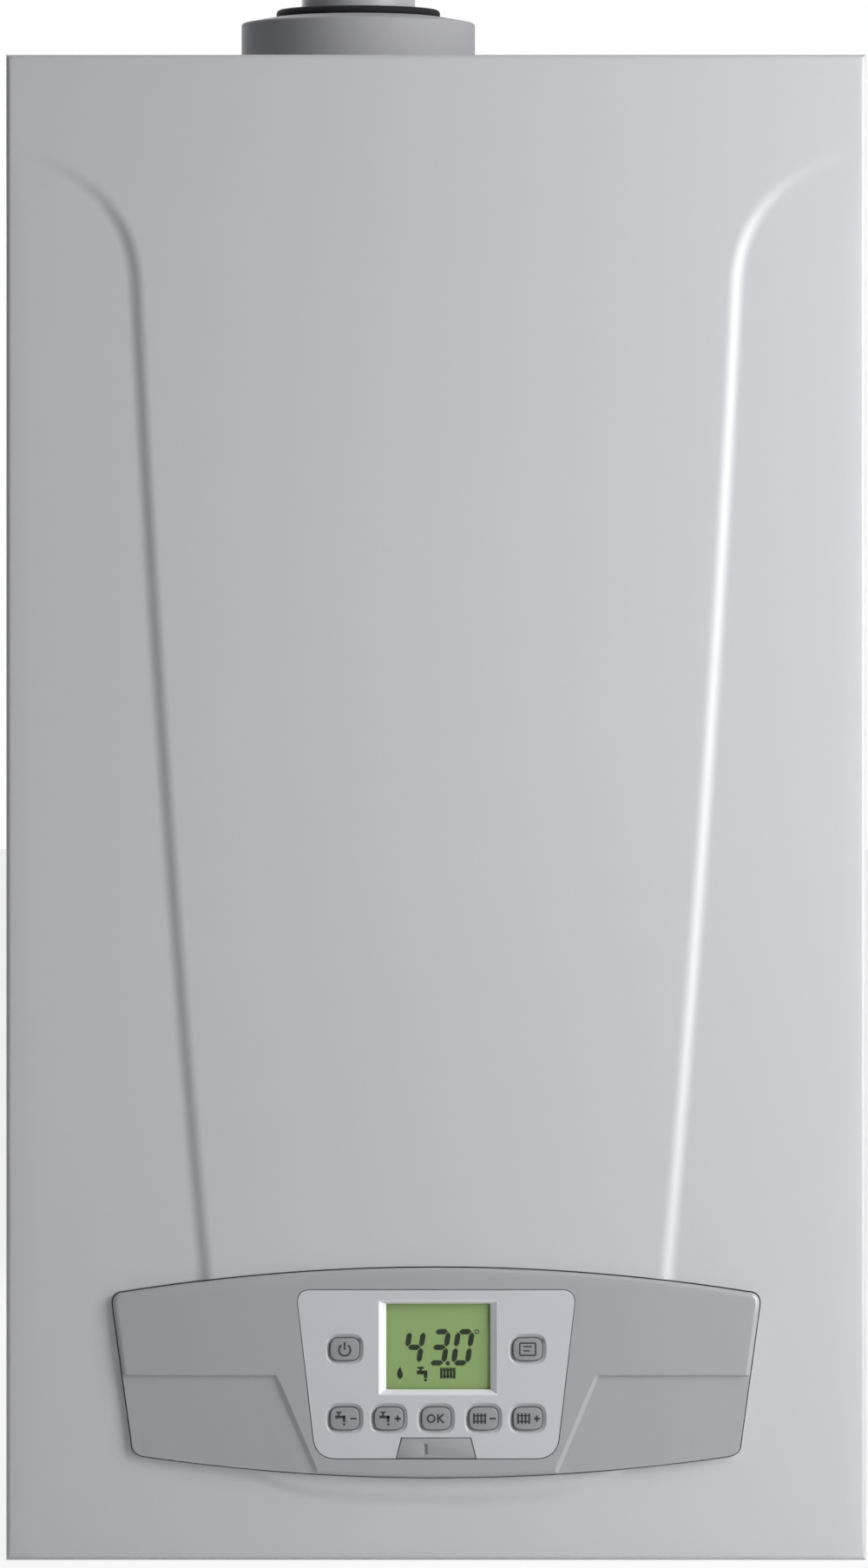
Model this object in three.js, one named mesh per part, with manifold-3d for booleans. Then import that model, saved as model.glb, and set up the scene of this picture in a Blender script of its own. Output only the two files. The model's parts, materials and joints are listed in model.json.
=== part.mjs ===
// A wall-hung condensing combi boiler, in millimetres, +Z up.
// X runs to the right seen from the front, and -Y is the front.
// Heights are counted from the casing's bottom edge; the last group lowers everything, so that
// the origin lies on the wall face, in the middle of the hanging rail.
import * as THREE from 'three';
import { mergeVertices } from 'three/addons/utils/BufferGeometryUtils.js';
import Module from 'manifold-3d';

const wasm = await Module();
wasm.setup();

// ---------------------------------------------------------------- driving dimensions

// Casing
const CASING_WIDTH = 400;
const CASING_HEIGHT = 700;
const CASING_DEPTH = 292;
const SHEET = 1;
const FRAME_SHEET = 1.5;
const FRAME_RETURN = 15;
const PANEL_FLANGE = 14;
const BAY_HEIGHT = 34;
const HANG_HEIGHT = 655;
const HANG_SPACING = 200;
const HANG_HEAD = 16;
const HANG_SLOT = 8;
const HANG_SLOT_RISE = 14;

// Front cover
const COVER_RETURN = 20;
const COVER_HEM = 12;
const SEAL_THICKNESS = 3;
const SEAL_WIDTH = 10;
const FIELD_RAISE = 2.5;
const FIELD_STEP = 3;
const FIELD_BOTTOM = 28.6;
const FADE_TOP = 652;
const FADE_DROP = 56;
const CREASE_START = 184;
const CREASE_SHOULDER = 139.3;
const CREASE_SHOULDER_HEIGHT = 592;
const CREASE_FOOT = 102.5;
const CREASE_FOOT_HEIGHT = 80;
const CREASE_LEAN = 1.7;
const CREASE_LEAN_RISE = 36;
const CREASE_SWEEP = 24.1;
const CREASE_SWEEP_DROP = 9;
const FOOT_FLAT = 69.7;
const FOOT_SIDE = 99.4;
const FOOT_SIDE_RISE = 5.1;

// Control panel
const PANEL_GAP = 1.2;
const FASCIA_WIDTH = 300;
const FASCIA_HEIGHT = 96.5;
const FASCIA_BOTTOM = 39.2;
const FASCIA_TAPER = 9;
const FASCIA_TOP_RISE = 11.5;
const FASCIA_BOTTOM_RISE = 9.7;
const FASCIA_CORNER = 5;
const FASCIA_PROUD = 4.5;
const FASCIA_BULGE = 3;
const FASCIA_DEPTH = 14;
const FASCIA_WALL = 2.2;
const WING_RECESS = 1.5;
const WING_HEIGHT = 86.3;
const WING_TOP_INNER = 76;
const WING_FOOT_INNER = 56;
const KEYPAD_WIDTH = 130;
const KEYPAD_TAPER = 9;
const KEYPAD_HEIGHT = 78.3;
const KEYPAD_BOTTOM = 47.6;
const KEYPAD_TOP_CORNER = 7;
const KEYPAD_BOTTOM_CORNER = 10;
const KEYPAD_THICKNESS = 2.5;
const KEYPAD_SET_BACK = 0.6;
const KEYPAD_LEDGE = 2;
const WINDOW_WIDTH = 50;
const WINDOW_HEIGHT = 39.5;
const WINDOW_CENTRE = 99.2;
const LENS_MARGIN = 3;
const LENS_THICKNESS = 1.5;
const DISPLAY_DEPTH = 6;
const BOARD_THICKNESS = 1.6;
const BUTTON_WIDTH = 13.4;
const BUTTON_HEIGHT = 10.4;
const BUTTON_CORNER = 3.4;
const BUTTON_PROUD = 1;
const BUTTON_TRAVEL = 0.8;
const BUTTON_FLANGE = 1;
const BUTTON_STEM = 2.5;
const BUTTON_TOP_ROW = 98.4;
const BUTTON_LOW_ROW = 66.2;
const BUTTON_OUTER = 42.5;
const BUTTON_INNER = 22;
const PORT_COVER_HALF_TOP = 16;
const PORT_COVER_HALF_BOTTOM = 18.6;
const PORT_COVER_HEIGHT = 9.5;

// Control box
const BOX_MARGIN = 25;
const BOX_BOTTOM = 40;
const BOX_HEIGHT = 86;
const BOX_DEPTH = 62;
const BOX_WALL = 2.2;
const BOX_FRAME = 2;
const LID_THICKNESS = 2;
const LID_LIP = 4;
const MAIN_BOARD_MARGIN = 6;
const STANDOFF = 5;
const RELAY = { count: 3, width: 16, height: 20, rise: 15, pitch: 24, start: -0.2, lift: 14 };
const PLUG = { count: 5, width: 24, height: 9, rise: 12, pitch: 36, start: -0.7, lift: 7 };
const TRANSFORMER = { width: 38, height: 32, rise: 30, start: -0.68, lift: 12 };
const HINGE_SET_BACK = 6;
const HINGE_RISE = 5;
const HINGE_PIN_RADIUS = 2.5;
const HINGE_HEAD_RADIUS = 5.5;
const HINGE_PLATE = 2;
const HINGE_FOOT = 16;

// Flue
const FLUE_X = -37;
const FLUE_Y = -170;
const COLLAR_RADIUS = 55.5;
const COLLAR_HEIGHT = 20.5;
const COLLAR_WALL = 2.5;
const COLLAR_CONE_RISE = 2.5;
const COLLAR_EDGE = 1;
const NECK_RADIUS = 36.3;
const NECK_RIM = 3.2;
const GASKET_THICKNESS = 2;
const LIP_RADIUS = 38.9;
const LIP_HEIGHT = 3.6;
const LIP_WALL = 3;
const LIP_SINK = 4;
const LIP_CHAMFER = 1.5;
const FLUE_RADIUS = 27;
const FLUE_WALL = 2.2;
const SPIGOT_TOP = 735;
const SPIGOT_SOCKET = 16;
const DUCT_SIDES = 12;
const DUCT_STEP = 33;

// Burner and heat exchanger
const DRUM_X = 88;
const DRUM_Z = 480;
const DRUM_RADIUS = 92;
const DRUM_REAR = 12;
const DRUM_LENGTH = 153;
const DRUM_TURNS = 5;
const DRUM_GROOVE = 5;
const DRUM_BOSS_RADIUS = 60;
const FURNACE_RADIUS = 70;
const FURNACE_END = 18;
const SUMP_BOTTOM = 375;
const SUMP_TOP = 400;
const SUMP_LEFT = -72;
const SUMP_RIGHT = 60;
const SUMP_REAR = 75;
const SUMP_FRONT = 170;
const DUCT_FOOT_Y = -110;
const DUCT_SOCKET_HEIGHT = 24;
const DUCT_BEND_LOW = 490;
const DUCT_BEND_HIGH = 640;
const PORT_DROP = 385;
const FLOW_PORT_DEPTH = 28;
const RETURN_PORT_DEPTH = 38;
const DOOR_RADIUS = 84;
const DOOR_THICKNESS = 10;
const DOOR_CHAMFER = 4;
const DOOR_HUB_MARGIN = 12;
const DOOR_HUB_SLOPE = 8;
const DOOR_STUDS = 6;
const DOOR_STUD_CIRCLE = 74;
const DOOR_STUD_RADIUS = 5;
const DOOR_STUD_HEIGHT = 4;
const BURNER_RADIUS = 35;
const BURNER_WALL = 2;
const BURNER_LENGTH = 95;
const ELECTRODE_RADIUS = 4;
const ELECTRODE_OFFSET = 28.6;
const ELECTRODE_PAD = 9.6;
const ELECTRODE_TIP = 30;
const ELECTRODE_BODY = 12;
const ELECTRODE_CONE = 2;
const ELECTRODE_FLANGE = 2;
const ELECTRODE_CAP = 14;
const ELECTRODE_CAP_RADIUS = 4.8;
const ELECTRODE_PIN = 22;
const ELBOW_RADIUS = 16;
const ELBOW_FLANGE = 4;
const ELBOW_STEP = 15;
const ELBOW_REACH = 25;

// Fan, mixer and gas valve
const FAN_X = 125;
const FAN_Z = 310;
const FAN_DEPTH = 44;
const FAN_WALL = 2;
const SCROLL_START = 47;
const SCROLL_END = 57;
const SCROLL_FROM = 0.72;
const SCROLL_STEPS = 20;
const OUTLET_WIDTH = 38;
const OUTLET_TOP = 378;
const INLET_RADIUS = 27;
const IMPELLER_RADIUS = 40;
const IMPELLER_GAP = 4;
const IMPELLER_HUB = 11;
const IMPELLER_NOSE = 6.6;
const IMPELLER_HUB_DEPTH = 14;
const IMPELLER_DISC = 1.5;
const BLADE_COUNT = 12;
const BLADE_SHEET = 1.2;
const BLADE_BOW = 1.5;
const BLADE_SWEEP = 7;
const BLADE_EDGE = 0.5;
const SHAFT_RADIUS = 3;
const SHAFT_LENGTH = 24;
const MOTOR_RADIUS = 28;
const MOTOR_LENGTH = 43;
const MOTOR_FLANGE = 4;
const MOTOR_FLANGE_SHEET = 3;
const MOTOR_CHAMFER = 3;
const MIXER_RADIUS = 33;
const MIXER_THROAT = 19;
const MIXER_LENGTH = 34;
const MIXER_WALL = 2.5;
const MIXER_FLANGE = 4;
const MIXER_LIP = 1;
const MIXER_CHAMFER = 3;
const MIXER_GAS_PORT = 8;
const VALVE_LEFT = -42;
const VALVE_WIDTH = 70;
const VALVE_DEPTH = 56;
const VALVE_HEIGHT = 88;
const VALVE_CORNER = 6;
const VALVE_COIL = { radius: 15, height: 26, inset: 20 };
const VALVE_REGULATOR = { radius: 11, height: 18, inset: 17 };
const VALVE_CAP = { radius: 9, proud: 5, inset: 24, rise: 16 };
const VALVE_NOTCH = { width: 16, depth: 14, height: 22 };
const VALVE_INLET = { share: 0.6, depth: 14 };
const GAS_TURN_LOW = 176;
const GAS_TURN_HIGH = 214;

// Water side
const PORT_Y = -100;
const PORT_SPACING = 65;
const PORT_END = 8;
const HEATING_PORT_RADIUS = 13.2;
const HEATING_BORE = 10.5;
const WATER_PORT_RADIUS = 10.5;
const WATER_BORE = 8;
const PORT_COLLAR = 17;
const PORT_COLLAR_HEIGHT = 6;
const GROUP_BOTTOM = 55;
const GROUP_HEIGHT = 33;
const GROUP_INNER = 60;
const GROUP_OUTER = 165;
const GROUP_FRONT = 125;
const GROUP_REAR = 55;
const GROUP_CORNER = 8;
const BOSS_WALL = 3;
const FLOW_BOSS_INSET = 16;
const FLOW_BOSS_HEIGHT = 12;
const DIVERTER_X = -120;
const DIVERTER_RADIUS = 18;
const DIVERTER_HEIGHT = 62;
const ACTUATOR_WIDTH = 44;
const ACTUATOR_HEIGHT = 42;
const ACTUATOR_CORNER = 7;
const PLATE_FRONT = 80;
const PLATE_REAR = 25;
const PLATE_BOTTOM = 60;
const PLATE_HEIGHT = 92;
const PLATE_RIBS = 7;
const PLATE_RIB_SHARE = 0.6;
const PLATE_RIB_PROUD = 2;
const PLATE_CORNER = 12;
const PUMP_X = 130;
const PUMP_Z = 135;
const PUMP_RADIUS = 36;
const PUMP_REAR = 60;
const PUMP_FRONT = 120;
const PUMP_FLANGE = 8;
const PUMP_FLANGE_PROUD = 5;
const PUMP_FLANGE_SLOPE = 2;
const PUMP_MOTOR_RADIUS = 39;
const PUMP_MOTOR_LENGTH = 68;
const PUMP_MOTOR_CHAMFER = 5;
const PUMP_MOTOR_NOSE = 9;
const PUMP_PLUG_RADIUS = 10;
const PUMP_PLUG_SINK = 3;
const PUMP_PORT_RADIUS = 13;
const PUMP_PORT_OFFSET = 10;
const PUMP_OUTLET_TOP = 186;
const VENT_X = 97;
const VENT_RADIUS = 12;
const VENT_FOOT = 182;
const VENT_HEIGHT = 34;
const VENT_BOSS_STEP = 2;
const VENT_WAIST = 6.6;
const VENT_CAP = 9;
const VENT_CAP_TOP = 7.2;
const VENT_CAP_HEIGHT = 6;
const VENT_SHOULDER = 4;
const PIPE_RADIUS = 9;
const GAS_PIPE_RADIUS = 7;
const PIPE_BEND = 22;
const FLOW_LEVEL = 232;
const FLOW_FALL = 40;
const RETURN_LEVEL = 250;
const RETURN_SPREAD = 30;
const TRAP_X = -50;
const TRAP_Y = -155;
const TRAP_RADIUS = 26;
const TRAP_FOOT = 62;
const TRAP_SHOULDER = 205;
const TRAP_NECK_RADIUS = 9;
const TRAP_OUTLET_RADIUS = 10;
const TRAP_WALL = 2.5;
const TRAP_FLOOR = 4;
const TRAP_SLOPE = 10;
const TRAP_RING_FOOT = 36;
const TRAP_RING_HEIGHT = 10;
const TRAP_RING_PROUD = 3;
const RELIEF_X = 88;
const RELIEF_Z = 71;
const RELIEF_RADIUS = 10;
const RELIEF_LENGTH = 38;
const RELIEF_FOOT = 10;
const RELIEF_STEP = 2;
const RELIEF_HOOD = 3;
const RELIEF_NOSE = 6;
const RELIEF_DRAIN = { radius: 6.5, setBack: 20, drop: 26 };
const RELIEF_KNOB_RADIUS = 15;
const RELIEF_KNOB_LENGTH = 14;
const TAP_X = 97.5;
const TAP_KNOB_RADIUS = 12;
const TAP_KNOB_HEIGHT = 18;
const TAP_STEM_RADIUS = 4;
const KNOB_LOBES = 6;
const KNOB_LOBE_STEPS = 4;
const KNOB_GROOVE = 0.07;
const VESSEL_REACH = 216;
const VESSEL_WIDTH = 78;
const VESSEL_BOTTOM = 335;
const VESSEL_HEIGHT = 310;
const VESSEL_ROUND = 18;
const VESSEL_CORNER = 30;
const VESSEL_GAP = 4;
const VESSEL_WALL = 1.5;
const VESSEL_SEAM = 5;
const VESSEL_SEAM_SHEET = 2;
const VESSEL_SEGMENTS = 3;
const NIPPLE_RADIUS = 7;
const NIPPLE_BORE = 4;
const NIPPLE_LENGTH = 24;

// Clearances and fineness
const FIT = 0.3;
const ROUND = 22;
const SMALL_ROUND = 14;
const FLUE_ROUND = 30;
const ARC = 8;
const FRONT_ARC = 12;
const CORNER_STEPS = 3;
const PIPE_SIDES = 10;
const PIPE_STEP = 23;
const BORE_SIDES = 16;

// ---------------------------------------------------------------- shared places

const halfWidth = CASING_WIDTH / 2;
const innerHalf = halfWidth - SHEET;
const flangeHalf = halfWidth - PANEL_FLANGE;
const coverFace = -CASING_DEPTH;
const fieldFace = coverFace - FIELD_RAISE;
const coverBack = coverFace + COVER_RETURN;
const flangeFace = coverBack + SEAL_THICKNESS;
const flangeBack = flangeFace + SHEET;
const frameFront = -FRAME_SHEET;
const floorTop = BAY_HEIGHT;
const floorBottom = BAY_HEIGHT - SHEET;
const fasciaFront = fieldFace - FASCIA_PROUD;
const fasciaBack = fasciaFront + FASCIA_DEPTH;
const fasciaTop = FASCIA_BOTTOM + FASCIA_HEIGHT;
const skin = FASCIA_WALL + WING_RECESS;
const keypadFront = fasciaFront + KEYPAD_SET_BACK;
const keypadBack = keypadFront + KEYPAD_THICKNESS;
const lensBack = keypadBack + LENS_THICKNESS;
const displayBack = lensBack + DISPLAY_DEPTH;
const boxFront = fasciaBack - BOX_FRAME;
const boxBack = fasciaBack + BOX_DEPTH;
const boxTop = BOX_BOTTOM + BOX_HEIGHT;
const boxHalf = FASCIA_WIDTH / 2 - BOX_MARGIN;
const hingeY = fasciaBack + HINGE_SET_BACK;
const hingeZ = BOX_BOTTOM + HINGE_RISE;
const drumBack = -DRUM_REAR;
const drumFront = drumBack - DRUM_LENGTH;
const doorStep = drumFront - DOOR_THICKNESS / 2;
const doorFront = drumFront - DOOR_THICKNESS;
const flowPort = { x: DRUM_X - DRUM_RADIUS / 2, y: drumBack - FLOW_PORT_DEPTH };
const returnPort = { x: DRUM_X + DRUM_RADIUS / 2, y: drumBack - RETURN_PORT_DEPTH };
const electrode = { x: DRUM_X + ELECTRODE_OFFSET, z: DRUM_Z - ELECTRODE_OFFSET };
const fanMiddle = doorFront - ELBOW_REACH;
const fanBack = fanMiddle + FAN_DEPTH / 2;
const fanFront = fanMiddle - FAN_DEPTH / 2;
const valveFront = fanFront - MIXER_LENGTH / 2 - VALVE_DEPTH / 2;
const gasPortY = fanFront - MIXER_LENGTH / 2;
const gasInlet = {
  x: VALVE_LEFT + VALVE_WIDTH * VALVE_INLET.share,
  y: valveFront + VALVE_DEPTH - VALVE_INLET.depth,
};
const groupTop = GROUP_BOTTOM + GROUP_HEIGHT;
const flowFoot = {
  x: -GROUP_INNER - FLOW_BOSS_INSET,
  y: -GROUP_REAR - FLOW_BOSS_INSET,
  z: groupTop + FLOW_BOSS_HEIGHT,
};
const pumpPortY = PORT_Y + PUMP_PORT_OFFSET;
const collarFoot = CASING_HEIGHT + GASKET_THICKNESS;
const collarTop = collarFoot + COLLAR_HEIGHT + COLLAR_CONE_RISE;
const ductTop = collarFoot + FLUE_WALL;

// ---------------------------------------------------------------- solids

function signedVolume(geometry) {
  const p = geometry.attributes.position;
  const at = (i) => new THREE.Vector3().fromBufferAttribute(p, geometry.index.getX(i));
  let sum = 0;
  for (let i = 0; i < geometry.index.count; i += 3) {
    sum += at(i).dot(at(i + 1).cross(at(i + 2)));
  }
  return sum;
}

// A closed geometry as a solid that can be cut and joined, whichever way its outline was drawn.
function solid(source) {
  source.deleteAttribute('normal');
  source.deleteAttribute('uv');
  const geometry = mergeVertices(source, 1e-4);
  const triVerts = Uint32Array.from(geometry.index.array);
  if (signedVolume(geometry) < 0) {
    for (let i = 0; i < triVerts.length; i += 3) {
      [triVerts[i], triVerts[i + 1]] = [triVerts[i + 1], triVerts[i]];
    }
  }
  const vertProperties = Float32Array.from(geometry.attributes.position.array);
  return new wasm.Manifold(new wasm.Mesh({ numProp: 3, vertProperties, triVerts }));
}

const join = (...parts) => parts.reduce((sum, part) => sum.add(part));
const cut = (body, ...tools) => tools.reduce((rest, tool) => rest.subtract(tool), body);

const AXES = {
  x: new THREE.Matrix4().set(0, 0, 1, 0, 1, 0, 0, 0, 0, 1, 0, 0, 0, 0, 0, 1),
  y: new THREE.Matrix4().set(1, 0, 0, 0, 0, 0, -1, 0, 0, 1, 0, 0, 0, 0, 0, 1),
  z: new THREE.Matrix4(),
};

// An outline in (x, z) pushed forward from yBack, one in (x, y) pushed up from its foot,
// and one in (y, z) pushed to the right from its left side.
function extruded(shape, axis, start, depth, options = {}) {
  const settings = { depth, bevelEnabled: false, curveSegments: ARC, ...options };
  const geometry = new THREE.ExtrudeGeometry(shape, settings).applyMatrix4(AXES[axis]);
  const shift = { x: [start, 0, 0], y: [0, start, 0], z: [0, 0, start] }[axis];
  return solid(geometry.translate(...shift));
}

const forward = (shape, yBack, depth, options) => extruded(shape, 'y', yBack, depth, options);
const upward = (shape, foot, height, options) => extruded(shape, 'z', foot, height, options);
const sideways = (shape, left, width, options) => extruded(shape, 'x', left, width, options);

function block(x0, x1, y0, y1, z0, z1) {
  const geometry = new THREE.BoxGeometry(x1 - x0, y1 - y0, z1 - z0);
  return solid(geometry.translate((x0 + x1) / 2, (y0 + y1) / 2, (z0 + z1) / 2));
}

const outline = (points) => new THREE.Shape(points.map(([a, b]) => new THREE.Vector2(a, b)));

// A profile of (radius, place along the axis), turned about an axis along Y or Z.
function turnedY(profile, x, z, sides = ROUND) {
  const points = profile.map(([r, y]) => new THREE.Vector2(r, y));
  return solid(new THREE.LatheGeometry(points, sides).translate(x, 0, z));
}

function turnedZ(profile, x, y, sides = ROUND) {
  const points = profile.map(([r, z]) => new THREE.Vector2(r, z));
  return solid(new THREE.LatheGeometry(points, sides).rotateX(Math.PI / 2).translate(x, y, 0));
}

const rodProfile = (r, a, b) => [[0, a], [r, a], [r, b], [0, b]];
const ringProfile = (r0, r1, a, b) => [[r0, a], [r1, a], [r1, b], [r0, b], [r0, a]];
const rodY = (r, x, z, y0, y1, sides) => turnedY(rodProfile(r, y0, y1), x, z, sides);
const rodZ = (r, x, y, z0, z1, sides) => turnedZ(rodProfile(r, z0, z1), x, y, sides);

function rodX(r, y, z, x0, x1, sides = SMALL_ROUND) {
  const geometry = new THREE.CylinderGeometry(r, r, x1 - x0, sides).rotateZ(Math.PI / 2);
  return solid(geometry.translate((x0 + x1) / 2, y, z));
}

// A run of straight stretches with round bends between them.
function bentPath(corners, bend) {
  const points = corners.map((corner) => new THREE.Vector3(...corner));
  const path = new THREE.CurvePath();
  let from = points[0];
  for (let i = 1; i < points.length - 1; i += 1) {
    const before = points[i].clone().sub(points[i - 1]).setLength(bend);
    const after = points[i + 1].clone().sub(points[i]).setLength(bend);
    const enter = points[i].clone().sub(before);
    const leave = points[i].clone().add(after);
    path.add(new THREE.LineCurve3(from, enter));
    path.add(new THREE.QuadraticBezierCurve3(enter, points[i], leave));
    from = leave;
  }
  path.add(new THREE.LineCurve3(from, points[points.length - 1]));
  return path;
}

function pipe(path, radius, bore = 0, sides = PIPE_SIDES, step = PIPE_STEP) {
  const section = new THREE.Shape().absarc(0, 0, radius, 0, 2 * Math.PI, false);
  if (bore > 0) {
    section.holes.push(new THREE.Path().absarc(0, 0, bore, 0, 2 * Math.PI, true));
  }
  const steps = Math.ceil(path.getLength() / step);
  const options = { extrudePath: path, steps, bevelEnabled: false, curveSegments: sides / 2 };
  return solid(new THREE.ExtrudeGeometry(section, options));
}

// A small corner in a few straight steps, from the shape's current point.
function turnCorner(shape, [cornerX, cornerZ], [endX, endZ], steps = CORNER_STEPS) {
  const { x, y } = shape.currentPoint;
  for (let i = 1; i <= steps; i += 1) {
    const t = i / steps;
    const blend = (from, corner, to) => (1 - t) ** 2 * from + 2 * t * (1 - t) * corner + t ** 2 * to;
    shape.lineTo(blend(x, cornerX, endX), blend(y, cornerZ, endZ));
  }
}

function roundedRectangle(x0, x1, z0, z1, corner, steps = CORNER_STEPS) {
  const shape = new THREE.Shape();
  shape.moveTo(x0 + corner, z0);
  shape.lineTo(x1 - corner, z0);
  turnCorner(shape, [x1, z0], [x1, z0 + corner], steps);
  shape.lineTo(x1, z1 - corner);
  turnCorner(shape, [x1, z1], [x1 - corner, z1], steps);
  shape.lineTo(x0 + corner, z1);
  turnCorner(shape, [x0, z1], [x0, z1 - corner], steps);
  shape.lineTo(x0, z0 + corner);
  turnCorner(shape, [x0, z0], [x0 + corner, z0], steps);
  return shape;
}

// ---------------------------------------------------------------- casing

function rearFrame() {
  const plate = block(-innerHalf, innerHalf, frameFront, 0, 0, CASING_HEIGHT - SHEET);
  const returnBack = frameFront - FRAME_RETURN;
  const returns = [-1, 1].map((side) => {
    const outer = side * innerHalf;
    const inner = side * (innerHalf - FRAME_SHEET);
    const span = [Math.min(outer, inner), Math.max(outer, inner)];
    return block(...span, returnBack, frameFront + FRAME_SHEET / 2, 0, CASING_HEIGHT - SHEET);
  });
  const slots = [-1, 1].map((side) => {
    const x = side * HANG_SPACING / 2;
    const through = [-2 * FRAME_SHEET, FRAME_SHEET];
    const headCentre = HANG_HEIGHT - HANG_HEAD / 2;
    const head = rodY(HANG_HEAD / 2, x, headCentre, ...through, SMALL_ROUND);
    const slot = block(x - HANG_SLOT / 2, x + HANG_SLOT / 2, ...through, headCentre,
      HANG_HEIGHT + HANG_SLOT_RISE);
    return join(head, slot);
  });
  return cut(join(plate, ...returns), ...slots);
}

function sidePanel(side) {
  const outer = side * halfWidth;
  const inner = side * innerHalf;
  const lip = side * (halfWidth - PANEL_FLANGE);
  const wall = block(Math.min(outer, inner), Math.max(outer, inner), flangeFace, 0, 0, CASING_HEIGHT);
  const flange = block(Math.min(outer, lip), Math.max(outer, lip), flangeFace, flangeBack, 0, CASING_HEIGHT);
  return join(wall, flange);
}

function topPanel() {
  const plate = block(-innerHalf, innerHalf, flangeBack, 0, CASING_HEIGHT - SHEET, CASING_HEIGHT);
  const flange = block(-flangeHalf, flangeHalf, flangeFace, flangeBack + SHEET / 2,
    CASING_HEIGHT - PANEL_FLANGE, CASING_HEIGHT);
  const airHole = rodZ(COLLAR_RADIUS - 2 * COLLAR_WALL, FLUE_X, FLUE_Y, CASING_HEIGHT - 2 * SHEET,
    CASING_HEIGHT + SHEET);
  return cut(join(plate, flange), airHole);
}

const ports = [
  { name: 'heating_flow_stub', x: -2 * PORT_SPACING, radius: HEATING_PORT_RADIUS, bore: HEATING_BORE },
  { name: 'hot_water_stub', x: -PORT_SPACING, radius: WATER_PORT_RADIUS, bore: WATER_BORE },
  { name: 'gas_stub', x: 0, radius: HEATING_PORT_RADIUS, bore: HEATING_BORE },
  { name: 'cold_water_stub', x: PORT_SPACING, radius: WATER_PORT_RADIUS, bore: WATER_BORE },
  { name: 'heating_return_stub', x: 2 * PORT_SPACING, radius: HEATING_PORT_RADIUS, bore: HEATING_BORE },
];

function bottomPanel() {
  const floor = block(-innerHalf, innerHalf, flangeBack, frameFront - FRAME_RETURN, floorBottom, floorTop);
  const tongue = block(-innerHalf + FRAME_SHEET, innerHalf - FRAME_SHEET, frameFront - FRAME_RETURN - SHEET,
    frameFront, floorBottom, floorTop);
  const apron = block(-flangeHalf, flangeHalf, flangeFace, flangeBack + SHEET / 2, SHEET, floorTop);
  const hole = (x, y, radius) => rodZ(radius + FIT, x, y, floorBottom - SHEET, floorTop + SHEET, SMALL_ROUND);
  const holes = ports.map((port) => hole(port.x, PORT_Y, port.radius));
  holes.push(hole(TRAP_X, TRAP_Y, TRAP_OUTLET_RADIUS));
  holes.push(hole(TAP_X, PORT_Y, TAP_STEM_RADIUS));
  return cut(join(floor, tongue, apron), ...holes);
}

function coverSeal() {
  const frameOf = (inset, front, back) => block(-halfWidth + inset, halfWidth - inset, front, back,
    inset, CASING_HEIGHT - inset);
  const outer = frameOf(COVER_HEM - SEAL_WIDTH, coverBack, flangeFace);
  return cut(outer, frameOf(COVER_HEM, coverBack - SHEET, flangeFace + SHEET));
}

// The raised field: full width above the fade, then drawn in by the two creases and closed by
// a rounded foot under the control panel. Its outline runs past the casing's edges.
function fieldOutline() {
  const beyond = halfWidth + 4 * FIELD_STEP;
  const above = CASING_HEIGHT + 4 * FIELD_STEP;
  const foot = [CREASE_FOOT, CREASE_FOOT_HEIGHT];
  const footSide = [FOOT_SIDE, FIELD_BOTTOM + FOOT_SIDE_RISE];
  const footFlat = [FOOT_FLAT, FIELD_BOTTOM];
  const shoulder = [CREASE_SHOULDER, CREASE_SHOULDER_HEIGHT];
  const lean = [CREASE_SHOULDER + CREASE_LEAN, CREASE_SHOULDER_HEIGHT + CREASE_LEAN_RISE];
  const sweep = [CREASE_SHOULDER + CREASE_SWEEP, FADE_TOP - CREASE_SWEEP_DROP];
  const fade = [CREASE_START, FADE_TOP];
  const mirrored = ([x, z]) => [-x, z];
  const shape = new THREE.Shape();
  shape.moveTo(0, FIELD_BOTTOM);
  shape.bezierCurveTo(...footFlat, ...footSide, ...foot);
  shape.lineTo(...shoulder);
  shape.bezierCurveTo(...lean, ...sweep, ...fade);
  shape.lineTo(beyond, FADE_TOP);
  shape.lineTo(beyond, above);
  shape.lineTo(-beyond, above);
  shape.lineTo(-beyond, FADE_TOP);
  shape.lineTo(...mirrored(fade));
  shape.bezierCurveTo(...mirrored(sweep), ...mirrored(lean), ...mirrored(shoulder));
  shape.lineTo(...mirrored(foot));
  shape.bezierCurveTo(...mirrored(footSide), ...mirrored(footFlat), 0, FIELD_BOTTOM);
  return shape;
}

// The pressed front as a full block: side fields, raised field and the slope that fades the
// two levels into each other near the top.
function coverForm(setBack) {
  const face = coverFace + setBack;
  const raised = fieldFace + setBack;
  const base = block(-halfWidth, halfWidth, face, coverBack, 0, CASING_HEIGHT);
  const bevel = { bevelEnabled: true, bevelThickness: FIELD_RAISE, bevelSize: FIELD_STEP, bevelSegments: 2 };
  const field = forward(fieldOutline(), raised + 2 * FIELD_RAISE, FIELD_RAISE, bevel);
  const slope = sideways(outline([
    [raised, FADE_TOP], [face + FIELD_RAISE, FADE_TOP], [face + FIELD_RAISE, FADE_TOP - FADE_DROP],
    [face, FADE_TOP - FADE_DROP],
  ]), -halfWidth, CASING_WIDTH);
  const envelope = block(-halfWidth, halfWidth, raised, coverBack, 0, CASING_HEIGHT);
  return join(base, field, slope).intersect(envelope);
}

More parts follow.
